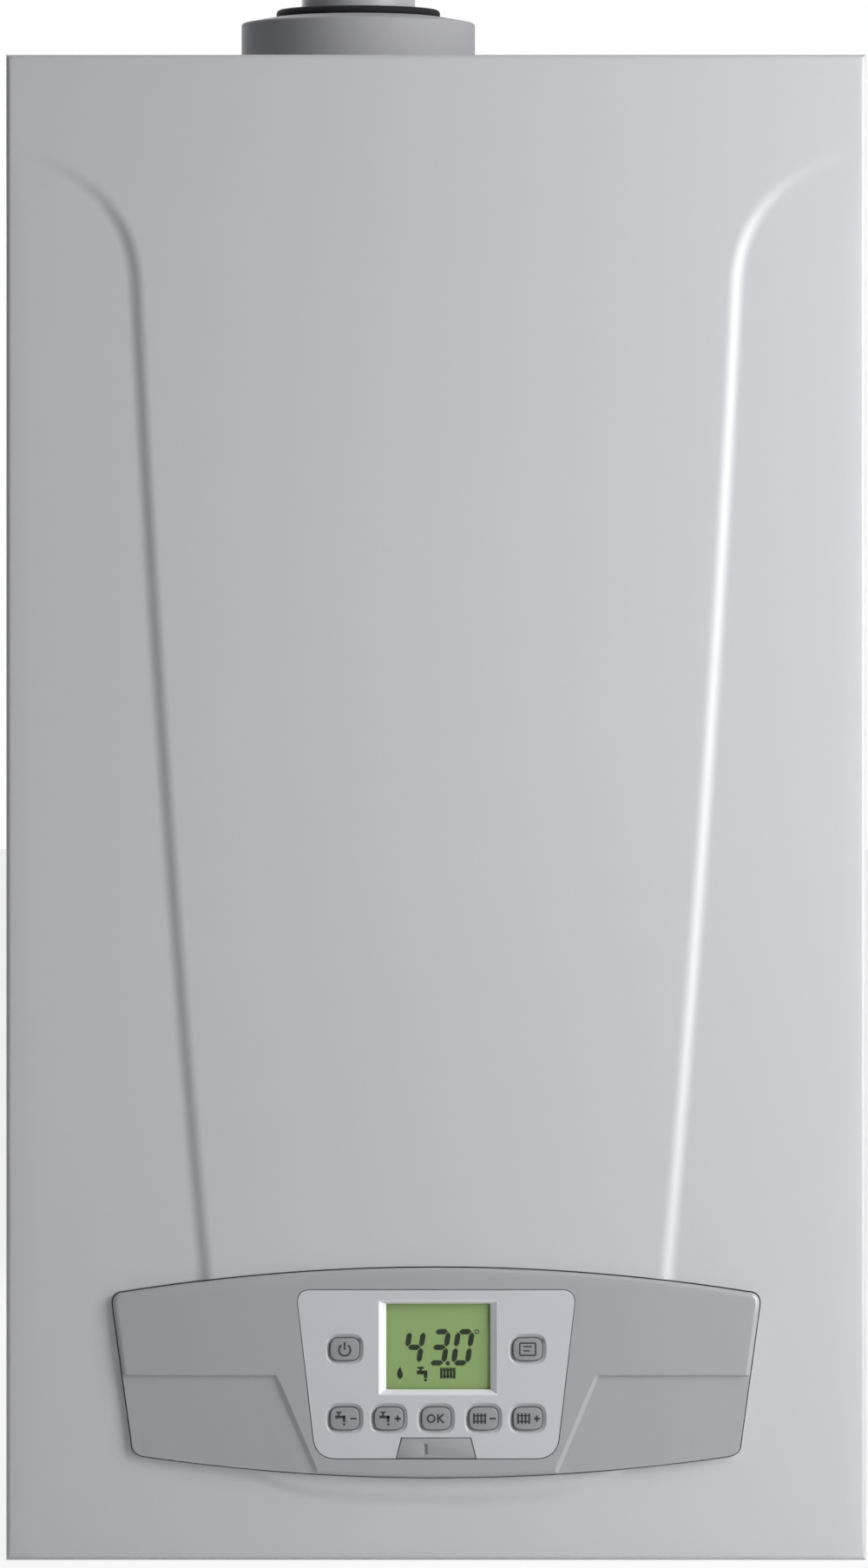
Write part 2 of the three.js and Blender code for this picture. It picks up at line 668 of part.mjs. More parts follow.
function frontCover() {
  const cavity = coverForm(SHEET).intersect(block(-innerHalf, innerHalf, fieldFace, coverBack - SHEET,
    SHEET, CASING_HEIGHT - SHEET));
  const mouth = block(-halfWidth + COVER_HEM, halfWidth - COVER_HEM, coverBack - 2 * SHEET, coverBack + SHEET,
    COVER_HEM, CASING_HEIGHT - COVER_HEM);
  const opening = forward(fasciaOutline(PANEL_GAP), coverBack, COVER_RETURN + FIELD_RAISE + SHEET);
  return cut(coverForm(0), cavity, mouth, opening);
}

// ---------------------------------------------------------------- control panel

// Convex arcs along the top and the bottom, sides drawn in towards the bottom, small corners.
function fasciaOutline(grow) {
  const halfTop = FASCIA_WIDTH / 2 + grow;
  const halfBottom = halfTop - FASCIA_TAPER;
  const top = fasciaTop + grow;
  const bottom = FASCIA_BOTTOM - grow;
  const shoulder = top - FASCIA_TOP_RISE;
  const heel = bottom + FASCIA_BOTTOM_RISE;
  const corner = Math.max(FASCIA_CORNER + grow, 1);
  const shape = new THREE.Shape();
  shape.moveTo(-halfBottom + corner, heel);
  shape.quadraticCurveTo(0, 2 * bottom - heel, halfBottom - corner, heel);
  turnCorner(shape, [halfBottom, heel + corner / 5], [halfBottom, heel + corner]);
  shape.lineTo(halfTop, shoulder - corner);
  turnCorner(shape, [halfTop, shoulder], [halfTop - corner, shoulder]);
  shape.quadraticCurveTo(0, 2 * top - shoulder, -halfTop + corner, shoulder);
  turnCorner(shape, [-halfTop, shoulder], [-halfTop, shoulder - corner]);
  shape.lineTo(-halfBottom, heel + corner);
  turnCorner(shape, [-halfBottom, heel + corner / 5], [-halfBottom + corner, heel]);
  return shape;
}

// All that lies behind the fascia's curved front, which is moved back by setBack.
function behindFront(setBack) {
  const front = fasciaFront + setBack;
  const side = FASCIA_WIDTH;
  const ends = front + FASCIA_BULGE * (side / (FASCIA_WIDTH / 2)) ** 2;
  const shape = new THREE.Shape();
  shape.moveTo(-side, ends);
  shape.quadraticCurveTo(0, 2 * front - ends, side, ends);
  shape.lineTo(side, fasciaBack + side);
  shape.lineTo(-side, fasciaBack + side);
  return upward(shape, -FASCIA_HEIGHT, 4 * FASCIA_HEIGHT, { curveSegments: FRONT_ARC });
}

function keypadOutline(grow) {
  const top = KEYPAD_BOTTOM + KEYPAD_HEIGHT + grow;
  const bottom = KEYPAD_BOTTOM - grow;
  const halfTop = KEYPAD_WIDTH / 2 + grow;
  const halfBottom = halfTop - KEYPAD_TAPER;
  const upper = KEYPAD_TOP_CORNER + grow;
  const lower = KEYPAD_BOTTOM_CORNER + grow;
  const lean = KEYPAD_TAPER / KEYPAD_HEIGHT;
  const shape = new THREE.Shape();
  shape.moveTo(-halfBottom + lower, bottom);
  shape.lineTo(halfBottom - lower, bottom);
  turnCorner(shape, [halfBottom, bottom], [halfBottom + lower * lean, bottom + lower]);
  shape.lineTo(halfTop - upper * lean, top - upper);
  turnCorner(shape, [halfTop, top], [halfTop - upper, top]);
  shape.lineTo(-halfTop + upper, top);
  turnCorner(shape, [-halfTop, top], [-halfTop + upper * lean, top - upper]);
  shape.lineTo(-halfBottom - lower * lean, bottom + lower);
  turnCorner(shape, [-halfBottom, bottom], [-halfBottom + lower, bottom]);
  return shape;
}

// The lower outer fields of the fascia, set back behind its middle.
function wings() {
  const beyond = FASCIA_WIDTH;
  const low = FASCIA_BOTTOM - FASCIA_HEIGHT;
  const lean = (WING_TOP_INNER - WING_FOOT_INNER) / (WING_HEIGHT - FASCIA_BOTTOM);
  const footInner = WING_TOP_INNER - lean * (WING_HEIGHT - low);
  const sides = [-1, 1].map((side) => forward(outline([
    [side * beyond, WING_HEIGHT], [side * WING_TOP_INNER, WING_HEIGHT],
    [side * footInner, low], [side * beyond, low],
  ]), fasciaBack, 2 * FASCIA_DEPTH));
  return join(...sides).subtract(behindFront(WING_RECESS));
}

function fascia() {
  const outer = forward(fasciaOutline(0), fasciaBack, FASCIA_DEPTH).intersect(behindFront(0));
  const inner = forward(fasciaOutline(-FASCIA_WALL), fasciaBack + SHEET, FASCIA_DEPTH + SHEET)
    .intersect(behindFront(skin));
  const ledge = forward(keypadOutline(FASCIA_WALL), keypadBack + KEYPAD_LEDGE, KEYPAD_LEDGE);
  const seat = forward(keypadOutline(FIT), keypadBack, FASCIA_DEPTH);
  const through = forward(keypadOutline(-KEYPAD_LEDGE), fasciaBack, 2 * FASCIA_DEPTH);
  return cut(join(cut(outer, wings(), inner), ledge), seat, through);
}

const windowHalf = WINDOW_WIDTH / 2;
const windowLow = WINDOW_CENTRE - WINDOW_HEIGHT / 2;
const windowHigh = WINDOW_CENTRE + WINDOW_HEIGHT / 2;

const buttons = [
  { name: 'button_left', x: -BUTTON_OUTER, z: BUTTON_TOP_ROW },
  { name: 'button_right', x: BUTTON_OUTER, z: BUTTON_TOP_ROW },
  ...[-BUTTON_OUTER, -BUTTON_INNER, 0, BUTTON_INNER, BUTTON_OUTER]
    .map((x, i) => ({ name: `button_lower_${i + 1}`, x, z: BUTTON_LOW_ROW })),
];

function buttonOutline(x, z, grow) {
  const across = BUTTON_WIDTH / 2 + grow;
  const up = BUTTON_HEIGHT / 2 + grow;
  return roundedRectangle(x - across, x + across, z - up, z + up, BUTTON_CORNER + grow, 2);
}

function portCoverOutline(grow) {
  const top = KEYPAD_BOTTOM + PORT_COVER_HEIGHT + grow;
  const low = KEYPAD_BOTTOM - grow;
  return outline([
    [-PORT_COVER_HALF_BOTTOM - grow, low], [PORT_COVER_HALF_BOTTOM + grow, low],
    [PORT_COVER_HALF_TOP + grow, top], [-PORT_COVER_HALF_TOP - grow, top],
  ]);
}

function keypadPlate() {
  const plate = forward(keypadOutline(0), keypadBack, KEYPAD_THICKNESS);
  const depth = KEYPAD_THICKNESS + 2 * SHEET;
  const through = (shape) => forward(shape, keypadBack + SHEET, depth, { curveSegments: 1 });
  const window = block(-windowHalf, windowHalf, keypadFront - SHEET, keypadBack + SHEET, windowLow, windowHigh);
  const holes = buttons.map((button) => through(buttonOutline(button.x, button.z, FIT)));
  return cut(plate, window, through(portCoverOutline(FIT)), ...holes);
}

function portCover() {
  const cap = forward(portCoverOutline(0), keypadBack, KEYPAD_THICKNESS);
  const tongue = block(-PORT_COVER_HALF_TOP, PORT_COVER_HALF_TOP, keypadBack - KEYPAD_THICKNESS / 2,
    keypadBack + KEYPAD_LEDGE, KEYPAD_BOTTOM + KEYPAD_LEDGE + 2 * FIT, KEYPAD_BOTTOM + PORT_COVER_HEIGHT);
  return join(cap, tongue);
}

function button(x, z) {
  const capFront = keypadFront - BUTTON_PROUD;
  const flangeFront = keypadBack + FIT;
  const flangeEnd = flangeFront + BUTTON_FLANGE;
  const stemEnd = displayBack - BUTTON_TRAVEL - FIT;
  const cap = forward(buttonOutline(x, z, 0), flangeEnd, flangeEnd - capFront, { curveSegments: 1 });
  const flange = forward(buttonOutline(x, z, BUTTON_FLANGE), flangeEnd, BUTTON_FLANGE, { curveSegments: 1 });
  const stem = rodY(BUTTON_STEM, x, z, flangeEnd - BUTTON_FLANGE / 2, stemEnd, ARC);
  return join(cap, flange, stem);
}

const lensBox = (margin, yFront, yBack) => block(-windowHalf - margin, windowHalf + margin, yFront, yBack,
  windowLow - margin, windowHigh + margin);

function displayBoard() {
  const half = KEYPAD_WIDTH / 2 - KEYPAD_TAPER - KEYPAD_LEDGE;
  const low = KEYPAD_BOTTOM + PORT_COVER_HEIGHT;
  const high = KEYPAD_BOTTOM + KEYPAD_HEIGHT - KEYPAD_TOP_CORNER / 2;
  return block(-half, half, displayBack, displayBack + BOARD_THICKNESS, low, high);
}

// A wide frame inside the fascia's rim, with the board tub behind it. In front of the rim's
// back the tub is trimmed to the rim's outline.
function controlBoxHousing() {
  const rim = fasciaOutline(-FASCIA_WALL - FIT);
  const frame = forward(rim, fasciaBack, BOX_FRAME);
  const tub = block(-boxHalf, boxHalf, fasciaBack - BOX_FRAME / 2, boxBack, BOX_BOTTOM, boxTop);
  const room = block(-boxHalf + BOX_WALL, boxHalf - BOX_WALL, fasciaBack, boxBack + SHEET,
    BOX_BOTTOM + BOX_WALL, boxTop - BOX_WALL);
  const mouth = forward(keypadOutline(-KEYPAD_LEDGE), fasciaBack + SHEET, BOX_FRAME + 2 * SHEET);
  const insideRim = forward(rim, fasciaBack + SHEET, FASCIA_DEPTH);
  const besideRim = block(-boxHalf - SHEET, boxHalf + SHEET, boxFront - SHEET, fasciaBack,
    BOX_BOTTOM - SHEET, boxTop + SHEET).subtract(insideRim);
  const bores = [-1, 1].map((side) => rodX(HINGE_PIN_RADIUS + FIT, hingeY, hingeZ,
    side * boxHalf - 2 * BOX_WALL, side * boxHalf + 2 * BOX_WALL));
  return cut(join(frame, tub.subtract(besideRim)), room, mouth, ...bores);
}

function controlBoxLid() {
  const plate = block(-boxHalf, boxHalf, boxBack, boxBack + LID_THICKNESS, BOX_BOTTOM, boxTop);
  const inset = BOX_WALL + FIT;
  const lip = (margin, front, back) => block(-boxHalf + inset + margin, boxHalf - inset - margin, front, back,
    BOX_BOTTOM + inset + margin, boxTop - inset - margin);
  const outer = lip(0, boxBack - LID_LIP, boxBack + LID_THICKNESS / 2);
  return join(plate, cut(outer, lip(BOX_WALL, boxBack - 2 * LID_LIP, boxBack)));
}

// The board on four standoffs of the lid, with its relays, plugs and transformer.
function mainBoard() {
  const margin = BOX_WALL + FIT + BOX_WALL + MAIN_BOARD_MARGIN;
  const half = boxHalf - margin;
  const low = BOX_BOTTOM + margin;
  const high = boxTop - margin;
  const middle = (low + high) / 2;
  const back = boxBack - STANDOFF;
  const face = back - BOARD_THICKNESS;
  const board = block(-half, half, face, back, low, high);
  const posts = [-1, 1].flatMap((side) => [low + STANDOFF, high - STANDOFF]
    .map((z) => rodY(STANDOFF / 2, side * (half - STANDOFF), z, face + SHEET, boxBack, ARC)));
  const part = ({ width, height, rise, start, lift, pitch = 0 }, foot, i = 0) => {
    const x = half * start + i * pitch;
    const z = foot + lift;
    return block(x - width / 2, x + width / 2, face - rise, face + SHEET / 2, z - height / 2, z + height / 2);
  };
  const relays = Array.from({ length: RELAY.count }, (_, i) => part(RELAY, middle, i));
  const plugs = Array.from({ length: PLUG.count }, (_, i) => part(PLUG, low, i));
  return join(board, ...posts, ...relays, ...plugs, part(TRANSFORMER, middle));
}

// A riveted pin on an arm that reaches forward from a foot on the floor panel.
function hingeBracket(side) {
  const near = side * (boxHalf + 1.5 * FIT);
  const far = near + side * HINGE_PLATE;
  const left = Math.min(near, far);
  const arm = new THREE.Shape();
  const rear = flangeBack + HINGE_FOOT;
  arm.moveTo(hingeY, hingeZ - HINGE_HEAD_RADIUS);
  arm.lineTo(flangeFace - HINGE_PLATE, hingeZ - HINGE_HEAD_RADIUS);
  arm.lineTo(flangeBack + HINGE_PLATE, floorTop);
  arm.lineTo(rear, floorTop);
  arm.lineTo(rear, floorTop + HINGE_HEAD_RADIUS);
  arm.lineTo(hingeY, hingeZ + HINGE_HEAD_RADIUS);
  arm.absarc(hingeY, hingeZ, HINGE_HEAD_RADIUS, Math.PI / 2, 1.5 * Math.PI, false);
  const plate = sideways(arm, left, HINGE_PLATE);
  const reach = near + side * HINGE_FOOT;
  const foot = block(Math.min(near, reach), Math.max(near, reach), flangeBack + HINGE_PLATE, rear,
    floorTop, floorTop + HINGE_PLATE);
  const pinEnd = side * (boxHalf - 2 * BOX_WALL);
  const pin = rodX(HINGE_PIN_RADIUS, hingeY, hingeZ, Math.min(pinEnd, far), Math.max(pinEnd, far));
  return join(plate, foot, pin);
}

// ---------------------------------------------------------------- flue

function adapterGasket() {
  const profile = ringProfile(COLLAR_RADIUS - 3 * COLLAR_WALL, COLLAR_RADIUS, CASING_HEIGHT, collarFoot);
  return turnedZ(profile, FLUE_X, FLUE_Y);
}

function flueAdapter() {
  const shoulder = collarFoot + COLLAR_HEIGHT;
  const inner = COLLAR_RADIUS - COLLAR_WALL;
  const foot = COLLAR_RADIUS - 3 * COLLAR_WALL;
  return turnedZ([
    [foot, collarFoot], [COLLAR_RADIUS, collarFoot], [COLLAR_RADIUS, shoulder - COLLAR_EDGE],
    [COLLAR_RADIUS - COLLAR_EDGE, shoulder],
    [NECK_RADIUS + NECK_RIM, collarTop], [NECK_RADIUS, collarTop], [NECK_RADIUS, collarTop - COLLAR_WALL],
    [inner, shoulder - COLLAR_WALL], [inner, collarFoot + COLLAR_WALL], [foot, collarFoot + COLLAR_WALL],
    [foot, collarFoot],
  ], FLUE_X, FLUE_Y, FLUE_ROUND);
}

function flueLipSeal() {
  const outer = NECK_RADIUS - FIT;
  const inner = outer - LIP_WALL;
  return turnedZ([
    [inner, collarTop - LIP_SINK], [outer, collarTop - LIP_SINK], [outer, collarTop], [LIP_RADIUS, collarTop],
    [LIP_RADIUS, collarTop + LIP_HEIGHT / 2], [LIP_RADIUS - LIP_CHAMFER, collarTop + LIP_HEIGHT],
    [inner, collarTop + LIP_HEIGHT], [inner, collarTop - LIP_SINK],
  ], FLUE_X, FLUE_Y, FLUE_ROUND);
}

// A socket over the duct's end that draws in to the pipe that stands out of the seal.
function flueSpigot() {
  const bore = FLUE_RADIUS - FLUE_WALL;
  const socketFoot = ductTop - SPIGOT_SOCKET;
  const socketInner = FLUE_RADIUS + FIT;
  const socketOuter = socketInner + FLUE_WALL;
  return turnedZ([
    [socketInner, socketFoot], [socketOuter, socketFoot], [socketOuter, ductTop + FLUE_WALL],
    [FLUE_RADIUS, ductTop + 2 * FLUE_WALL], [FLUE_RADIUS, SPIGOT_TOP], [bore, SPIGOT_TOP], [bore, ductTop],
    [socketInner, ductTop], [socketInner, socketFoot],
  ], FLUE_X, FLUE_Y, FLUE_ROUND);
}

function flueDuct() {
  const path = bentPath([
    [FLUE_X, DUCT_FOOT_Y, SUMP_TOP], [FLUE_X, DUCT_FOOT_Y, DUCT_BEND_LOW],
    [FLUE_X, FLUE_Y, DUCT_BEND_HIGH], [FLUE_X, FLUE_Y, ductTop],
  ], FLUE_RADIUS);
  return pipe(path, FLUE_RADIUS, FLUE_RADIUS - FLUE_WALL, DUCT_SIDES, DUCT_STEP);
}

// ---------------------------------------------------------------- heat exchanger and burner

// A drum of coiled turns round the furnace, with the sump, the duct socket and two water ports.
function heatExchanger() {
  const turn = DRUM_LENGTH / (DRUM_TURNS + 1);
  const profile = [[0, frameFront], [DRUM_BOSS_RADIUS, frameFront], [DRUM_BOSS_RADIUS, drumBack],
    [DRUM_RADIUS, drumBack]];
  for (let i = 0; i < DRUM_TURNS; i += 1) {
    const start = drumBack - turn * (i + 0.5);
    profile.push([DRUM_RADIUS, start], [DRUM_RADIUS - DRUM_GROOVE, start - turn / 2]);
  }
  profile.push([DRUM_RADIUS, drumFront], [FURNACE_RADIUS, drumFront]);
  profile.push([FURNACE_RADIUS, drumBack - FURNACE_END], [0, drumBack - FURNACE_END]);
  const drum = turnedY(profile, DRUM_X, DRUM_Z);
  const furnace = rodY(FURNACE_RADIUS, DRUM_X, DRUM_Z, drumBack - FURNACE_END, drumFront - SHEET);
  const sump = block(SUMP_LEFT, SUMP_RIGHT, -SUMP_FRONT, -SUMP_REAR, SUMP_BOTTOM, SUMP_TOP);
  const socketInner = FLUE_RADIUS + FIT;
  const socketOuter = socketInner + FLUE_WALL;
  const duct = (radius, foot, top) => rodZ(radius, FLUE_X, DUCT_FOOT_Y, foot, top);
  const socket = duct(socketOuter, SUMP_TOP - SHEET, SUMP_TOP + DUCT_SOCKET_HEIGHT);
  const seat = duct(socketInner, SUMP_TOP, SUMP_TOP + 2 * DUCT_SOCKET_HEIGHT);
  const well = duct(FLUE_RADIUS - FLUE_WALL, SUMP_BOTTOM + FLUE_WALL, SUMP_TOP + SHEET);
  const portTop = DRUM_Z - DRUM_RADIUS / 2;
  const boss = ({ x, y }) => rodZ(PIPE_RADIUS + FLUE_WALL, x, y, PORT_DROP, portTop, SMALL_ROUND);
  return cut(join(drum, sump, socket, boss(flowPort), boss(returnPort)), furnace, seat, well);
}

function burnerDoor() {
  const hub = ELBOW_RADIUS + 2 * ELBOW_FLANGE + DOOR_HUB_MARGIN;
  const disc = turnedY([
    [0, drumFront], [DOOR_RADIUS, drumFront], [DOOR_RADIUS, doorStep + SHEET],
    [DOOR_RADIUS - DOOR_CHAMFER, doorStep], [hub + DOOR_HUB_SLOPE, doorStep], [hub, doorFront], [0, doorFront],
  ], DRUM_X, DRUM_Z);
  const studs = Array.from({ length: DOOR_STUDS }, (_, i) => {
    const angle = 2 * Math.PI * (i + 0.5) / DOOR_STUDS;
    const x = DRUM_X + DOOR_STUD_CIRCLE * Math.cos(angle);
    const z = DRUM_Z + DOOR_STUD_CIRCLE * Math.sin(angle);
    return rodY(DOOR_STUD_RADIUS, x, z, doorStep + SHEET, doorStep - DOOR_STUD_HEIGHT, DOOR_STUDS);
  });
  const through = [drumFront + SHEET, doorFront - SHEET];
  const pad = rodY(ELECTRODE_PAD, electrode.x, electrode.z, drumFront - SHEET, doorFront, SMALL_ROUND);
  const hole = rodY(ELECTRODE_RADIUS + FIT, electrode.x, electrode.z, ...through, BORE_SIDES);
  const throat = rodY(ELBOW_RADIUS - FLUE_WALL, DRUM_X, DRUM_Z, ...through);
  return cut(join(disc, ...studs, pad), hole, throat);
}

function burnerTube() {
  const end = drumFront + BURNER_LENGTH;
  const inner = BURNER_RADIUS - BURNER_WALL;
  return turnedY([
    [inner, drumFront], [BURNER_RADIUS, drumFront], [BURNER_RADIUS, end], [0, end],
    [0, end - BURNER_WALL], [inner, end - BURNER_WALL], [inner, drumFront],
  ], DRUM_X, DRUM_Z);
}

// A ceramic body through the door, its spark pin inside and its plug pin outside.
function ignitionElectrode() {
  const body = ELECTRODE_RADIUS;
  const pin = body / 2;
  const flange = doorFront - ELECTRODE_FLANGE;
  const capEnd = doorFront - ELECTRODE_CAP;
  return turnedY([
    [0, drumFront + ELECTRODE_TIP], [pin, drumFront + ELECTRODE_TIP], [pin, drumFront + ELECTRODE_BODY],
    [body, drumFront + ELECTRODE_BODY - ELECTRODE_CONE], [body, doorFront], [2 * body, doorFront],
    [2 * body, flange], [ELECTRODE_CAP_RADIUS, flange - SHEET], [ELECTRODE_CAP_RADIUS, capEnd],
    [pin, capEnd - SHEET], [pin, doorFront - ELECTRODE_PIN], [0, doorFront - ELECTRODE_PIN],
  ], electrode.x, electrode.z, PIPE_SIDES);
}

// From the fan's outlet up in front of the drum and back into the middle of the door.
function gasAirElbow() {
  const bend = ELBOW_REACH - ELBOW_FLANGE / 2;
  const path = bentPath([
    [DRUM_X, fanMiddle, OUTLET_TOP + ELBOW_FLANGE / 2], [DRUM_X, fanMiddle, DRUM_Z],
    [DRUM_X, doorFront - ELBOW_FLANGE / 2, DRUM_Z],
  ], bend - SHEET);
  const bore = ELBOW_RADIUS - FLUE_WALL;
  const tube = pipe(path, ELBOW_RADIUS, bore, PIPE_SIDES, ELBOW_STEP);
  const half = OUTLET_WIDTH / 2;
  const footTop = OUTLET_TOP + ELBOW_FLANGE;
  const foot = block(DRUM_X - half, DRUM_X + half, fanFront, fanBack, OUTLET_TOP, footTop);
  const head = rodY(ELBOW_RADIUS + 2 * ELBOW_FLANGE, DRUM_X, DRUM_Z, doorFront - ELBOW_FLANGE, doorFront);
  const lowBore = rodZ(bore, DRUM_X, fanMiddle, OUTLET_TOP - SHEET, footTop + SHEET, PIPE_SIDES);
  const highBore = rodY(bore, DRUM_X, DRUM_Z, doorFront - ELBOW_FLANGE / 2, doorFront + SHEET, PIPE_SIDES);
  return cut(join(tube, foot, head), lowBore, highBore);
}

// ---------------------------------------------------------------- fan, mixer, gas valve

// The scroll opens steadily round the fan and runs out straight up into the outlet.
function scrollOutline(inset, top) {
  const shape = new THREE.Shape();
  shape.moveTo(DRUM_X + OUTLET_WIDTH / 2 - inset, top);
  for (let i = 0; i <= SCROLL_STEPS; i += 1) {
    const share = i / SCROLL_STEPS;
    const angle = Math.PI * (SCROLL_FROM - (1 + SCROLL_FROM) * share);
    const radius = SCROLL_START + (SCROLL_END - SCROLL_START) * share - inset;
    shape.lineTo(FAN_X + radius * Math.cos(angle), FAN_Z + radius * Math.sin(angle));
  }
  const left = DRUM_X - OUTLET_WIDTH / 2 + inset;
  shape.lineTo(left, FAN_Z);
  shape.lineTo(left, top);
  return shape;
}

function fanHousing() {
  const shell = forward(scrollOutline(0, OUTLET_TOP), fanBack, FAN_DEPTH);
  const inside = scrollOutline(FAN_WALL, OUTLET_TOP + SHEET);
  const room = forward(inside, fanBack - FAN_WALL, FAN_DEPTH - 2 * FAN_WALL);
  const inlet = rodY(INLET_RADIUS, FAN_X, FAN_Z, fanFront - SHEET, fanFront + 2 * FAN_WALL);
  const throughBack = [fanBack - 2 * FAN_WALL, fanBack + SHEET];
  const shaftHole = rodY(SHAFT_RADIUS + FIT, FAN_X, FAN_Z, ...throughBack, BORE_SIDES);
  return cut(shell, room, inlet, shaftHole);
}

// One blade of the wheel, curved backwards from the eye to the rim.
function bladeOutline() {
  const inner = INLET_RADIUS - SHEET;
  const outer = IMPELLER_RADIUS - BLADE_EDGE;
  const middle = (inner + outer) / 2;
  const shape = new THREE.Shape();
  shape.moveTo(inner, 0);
  shape.quadraticCurveTo(middle, -BLADE_BOW, outer, -BLADE_SWEEP);
  shape.lineTo(outer, -BLADE_SWEEP + BLADE_SHEET);
  shape.quadraticCurveTo(middle, -BLADE_BOW + BLADE_SHEET, inner, BLADE_SHEET);
  return shape;
}

// A backward-curved wheel: back disc, hub and shaft, blades between the disc and the front ring.
function fanImpeller() {
  const back = fanBack - FAN_WALL - IMPELLER_GAP;
  const front = fanFront + FAN_WALL + IMPELLER_GAP;
  const hubFront = back - IMPELLER_HUB_DEPTH;
  const disc = rodY(IMPELLER_RADIUS, FAN_X, FAN_Z, back - IMPELLER_DISC, back);
  const ring = turnedY(ringProfile(INLET_RADIUS, IMPELLER_RADIUS, front, front + IMPELLER_DISC), FAN_X, FAN_Z);
  const hub = turnedY([
    [0, hubFront], [IMPELLER_NOSE, hubFront], [IMPELLER_HUB, back - SHEET], [0, back - SHEET],
  ], FAN_X, FAN_Z, SMALL_ROUND);
  const shaft = rodY(SHAFT_RADIUS, FAN_X, FAN_Z, back - SHEET, back + SHAFT_LENGTH, BORE_SIDES);
  const settings = { depth: back - front - SHEET, bevelEnabled: false, curveSegments: 2 };
  const blades = Array.from({ length: BLADE_COUNT }, (_, i) => {
    const blade = new THREE.ExtrudeGeometry(bladeOutline(), settings);
    blade.rotateZ(2 * Math.PI * i / BLADE_COUNT).applyMatrix4(AXES.y);
    return solid(blade.translate(FAN_X, back - SHEET / 2, FAN_Z));
  });
  return join(disc, ring, hub, shaft, ...blades);
}

function fanMotor() {
  const end = fanBack + MOTOR_LENGTH;
  const flange = fanBack + MOTOR_FLANGE_SHEET;
  const bore = SHAFT_RADIUS + FIT;
  const boreEnd = fanBack + SHAFT_LENGTH;
  return turnedY([
    [bore, fanBack], [MOTOR_RADIUS + MOTOR_FLANGE, fanBack], [MOTOR_RADIUS + MOTOR_FLANGE, flange],
    [MOTOR_RADIUS, flange], [MOTOR_RADIUS, end - MOTOR_CHAMFER], [MOTOR_RADIUS - MOTOR_CHAMFER, end], [0, end],
    [0, boreEnd], [bore, boreEnd], [bore, fanBack],
  ], FAN_X, FAN_Z);
}

// A venturi in front of the fan's eye, with the gas port that comes from the valve.
function gasAirMixer() {
  const end = fanFront - MIXER_LENGTH;
  const flange = fanFront - MIXER_FLANGE;
  const body = turnedY([
    [INLET_RADIUS, fanFront], [MIXER_RADIUS + MIXER_FLANGE, fanFront], [MIXER_RADIUS + MIXER_FLANGE, flange],
    [MIXER_RADIUS, flange], [MIXER_RADIUS, end + MIXER_FLANGE], [MIXER_RADIUS + MIXER_LIP, end],
    [MIXER_RADIUS - MIXER_WALL, end], [MIXER_THROAT, gasPortY],
    [INLET_RADIUS - MIXER_WALL, fanFront - MIXER_CHAMFER], [INLET_RADIUS, fanFront],
  ], FAN_X, FAN_Z);
  const portStart = VALVE_LEFT + VALVE_WIDTH;
  const portEnd = FAN_X - MIXER_RADIUS + MIXER_FLANGE;
  const port = rodX(MIXER_GAS_PORT, gasPortY, FAN_Z, portStart, portEnd);
  const bore = rodX(MIXER_GAS_PORT - MIXER_WALL, gasPortY, FAN_Z, portStart - SHEET, FAN_X - MIXER_THROAT, 12);
  return cut(join(body, port), bore);
}

// The valve's block with its two coils on top, the cap of the setting screw and a clear corner.
function gasValve() {
  const right = VALVE_LEFT + VALVE_WIDTH;
  const low = FAN_Z - VALVE_HEIGHT / 2;
  const high = FAN_Z + VALVE_HEIGHT / 2;
  const back = valveFront + VALVE_DEPTH;
  const middle = (valveFront + back) / 2;
  const section = roundedRectangle(VALVE_LEFT, right, low, high, VALVE_CORNER);
  const body = forward(section, back, VALVE_DEPTH);
  const onTop = ({ radius, height }, x) => rodZ(radius, x, middle, high - SHEET, high + height, SMALL_ROUND);
  const coil = onTop(VALVE_COIL, VALVE_LEFT + VALVE_COIL.inset);
  const regulator = onTop(VALVE_REGULATOR, right - VALVE_REGULATOR.inset);
  const cap = rodY(VALVE_CAP.radius, VALVE_LEFT + VALVE_CAP.inset, FAN_Z + VALVE_CAP.rise,
    valveFront - VALVE_CAP.proud, valveFront + SHEET, SMALL_ROUND);
  const notch = block(VALVE_LEFT - SHEET, VALVE_LEFT + VALVE_NOTCH.width, valveFront - SHEET,
    valveFront + VALVE_NOTCH.depth, low - SHEET, low + VALVE_NOTCH.height);
  return cut(join(body, coil, regulator, cap), notch);
}

function gasPipe() {
  return pipe(bentPath([
    [0, PORT_Y, GROUP_BOTTOM], [0, PORT_Y, GAS_TURN_LOW], [gasInlet.x, gasInlet.y, GAS_TURN_HIGH],
    [gasInlet.x, gasInlet.y, FAN_Z - VALVE_HEIGHT / 2],
  ], PIPE_BEND), GAS_PIPE_RADIUS);
}

// ---------------------------------------------------------------- water side

function portStub({ x, radius, bore }) {
  const collarEnd = floorTop + PORT_COLLAR_HEIGHT;
  return turnedZ([
    [bore, PORT_END], [radius, PORT_END], [radius, floorTop], [PORT_COLLAR, floorTop],
    [PORT_COLLAR, collarEnd], [radius, collarEnd], [radius, GROUP_BOTTOM], [bore, GROUP_BOTTOM],
    [bore, PORT_END],
  ], x, PORT_Y, SMALL_ROUND);
}

function groupBlock(left, right) {
  const section = roundedRectangle(left, right, -GROUP_FRONT, -GROUP_REAR, GROUP_CORNER);
  return upward(section, GROUP_BOTTOM, GROUP_HEIGHT);
}

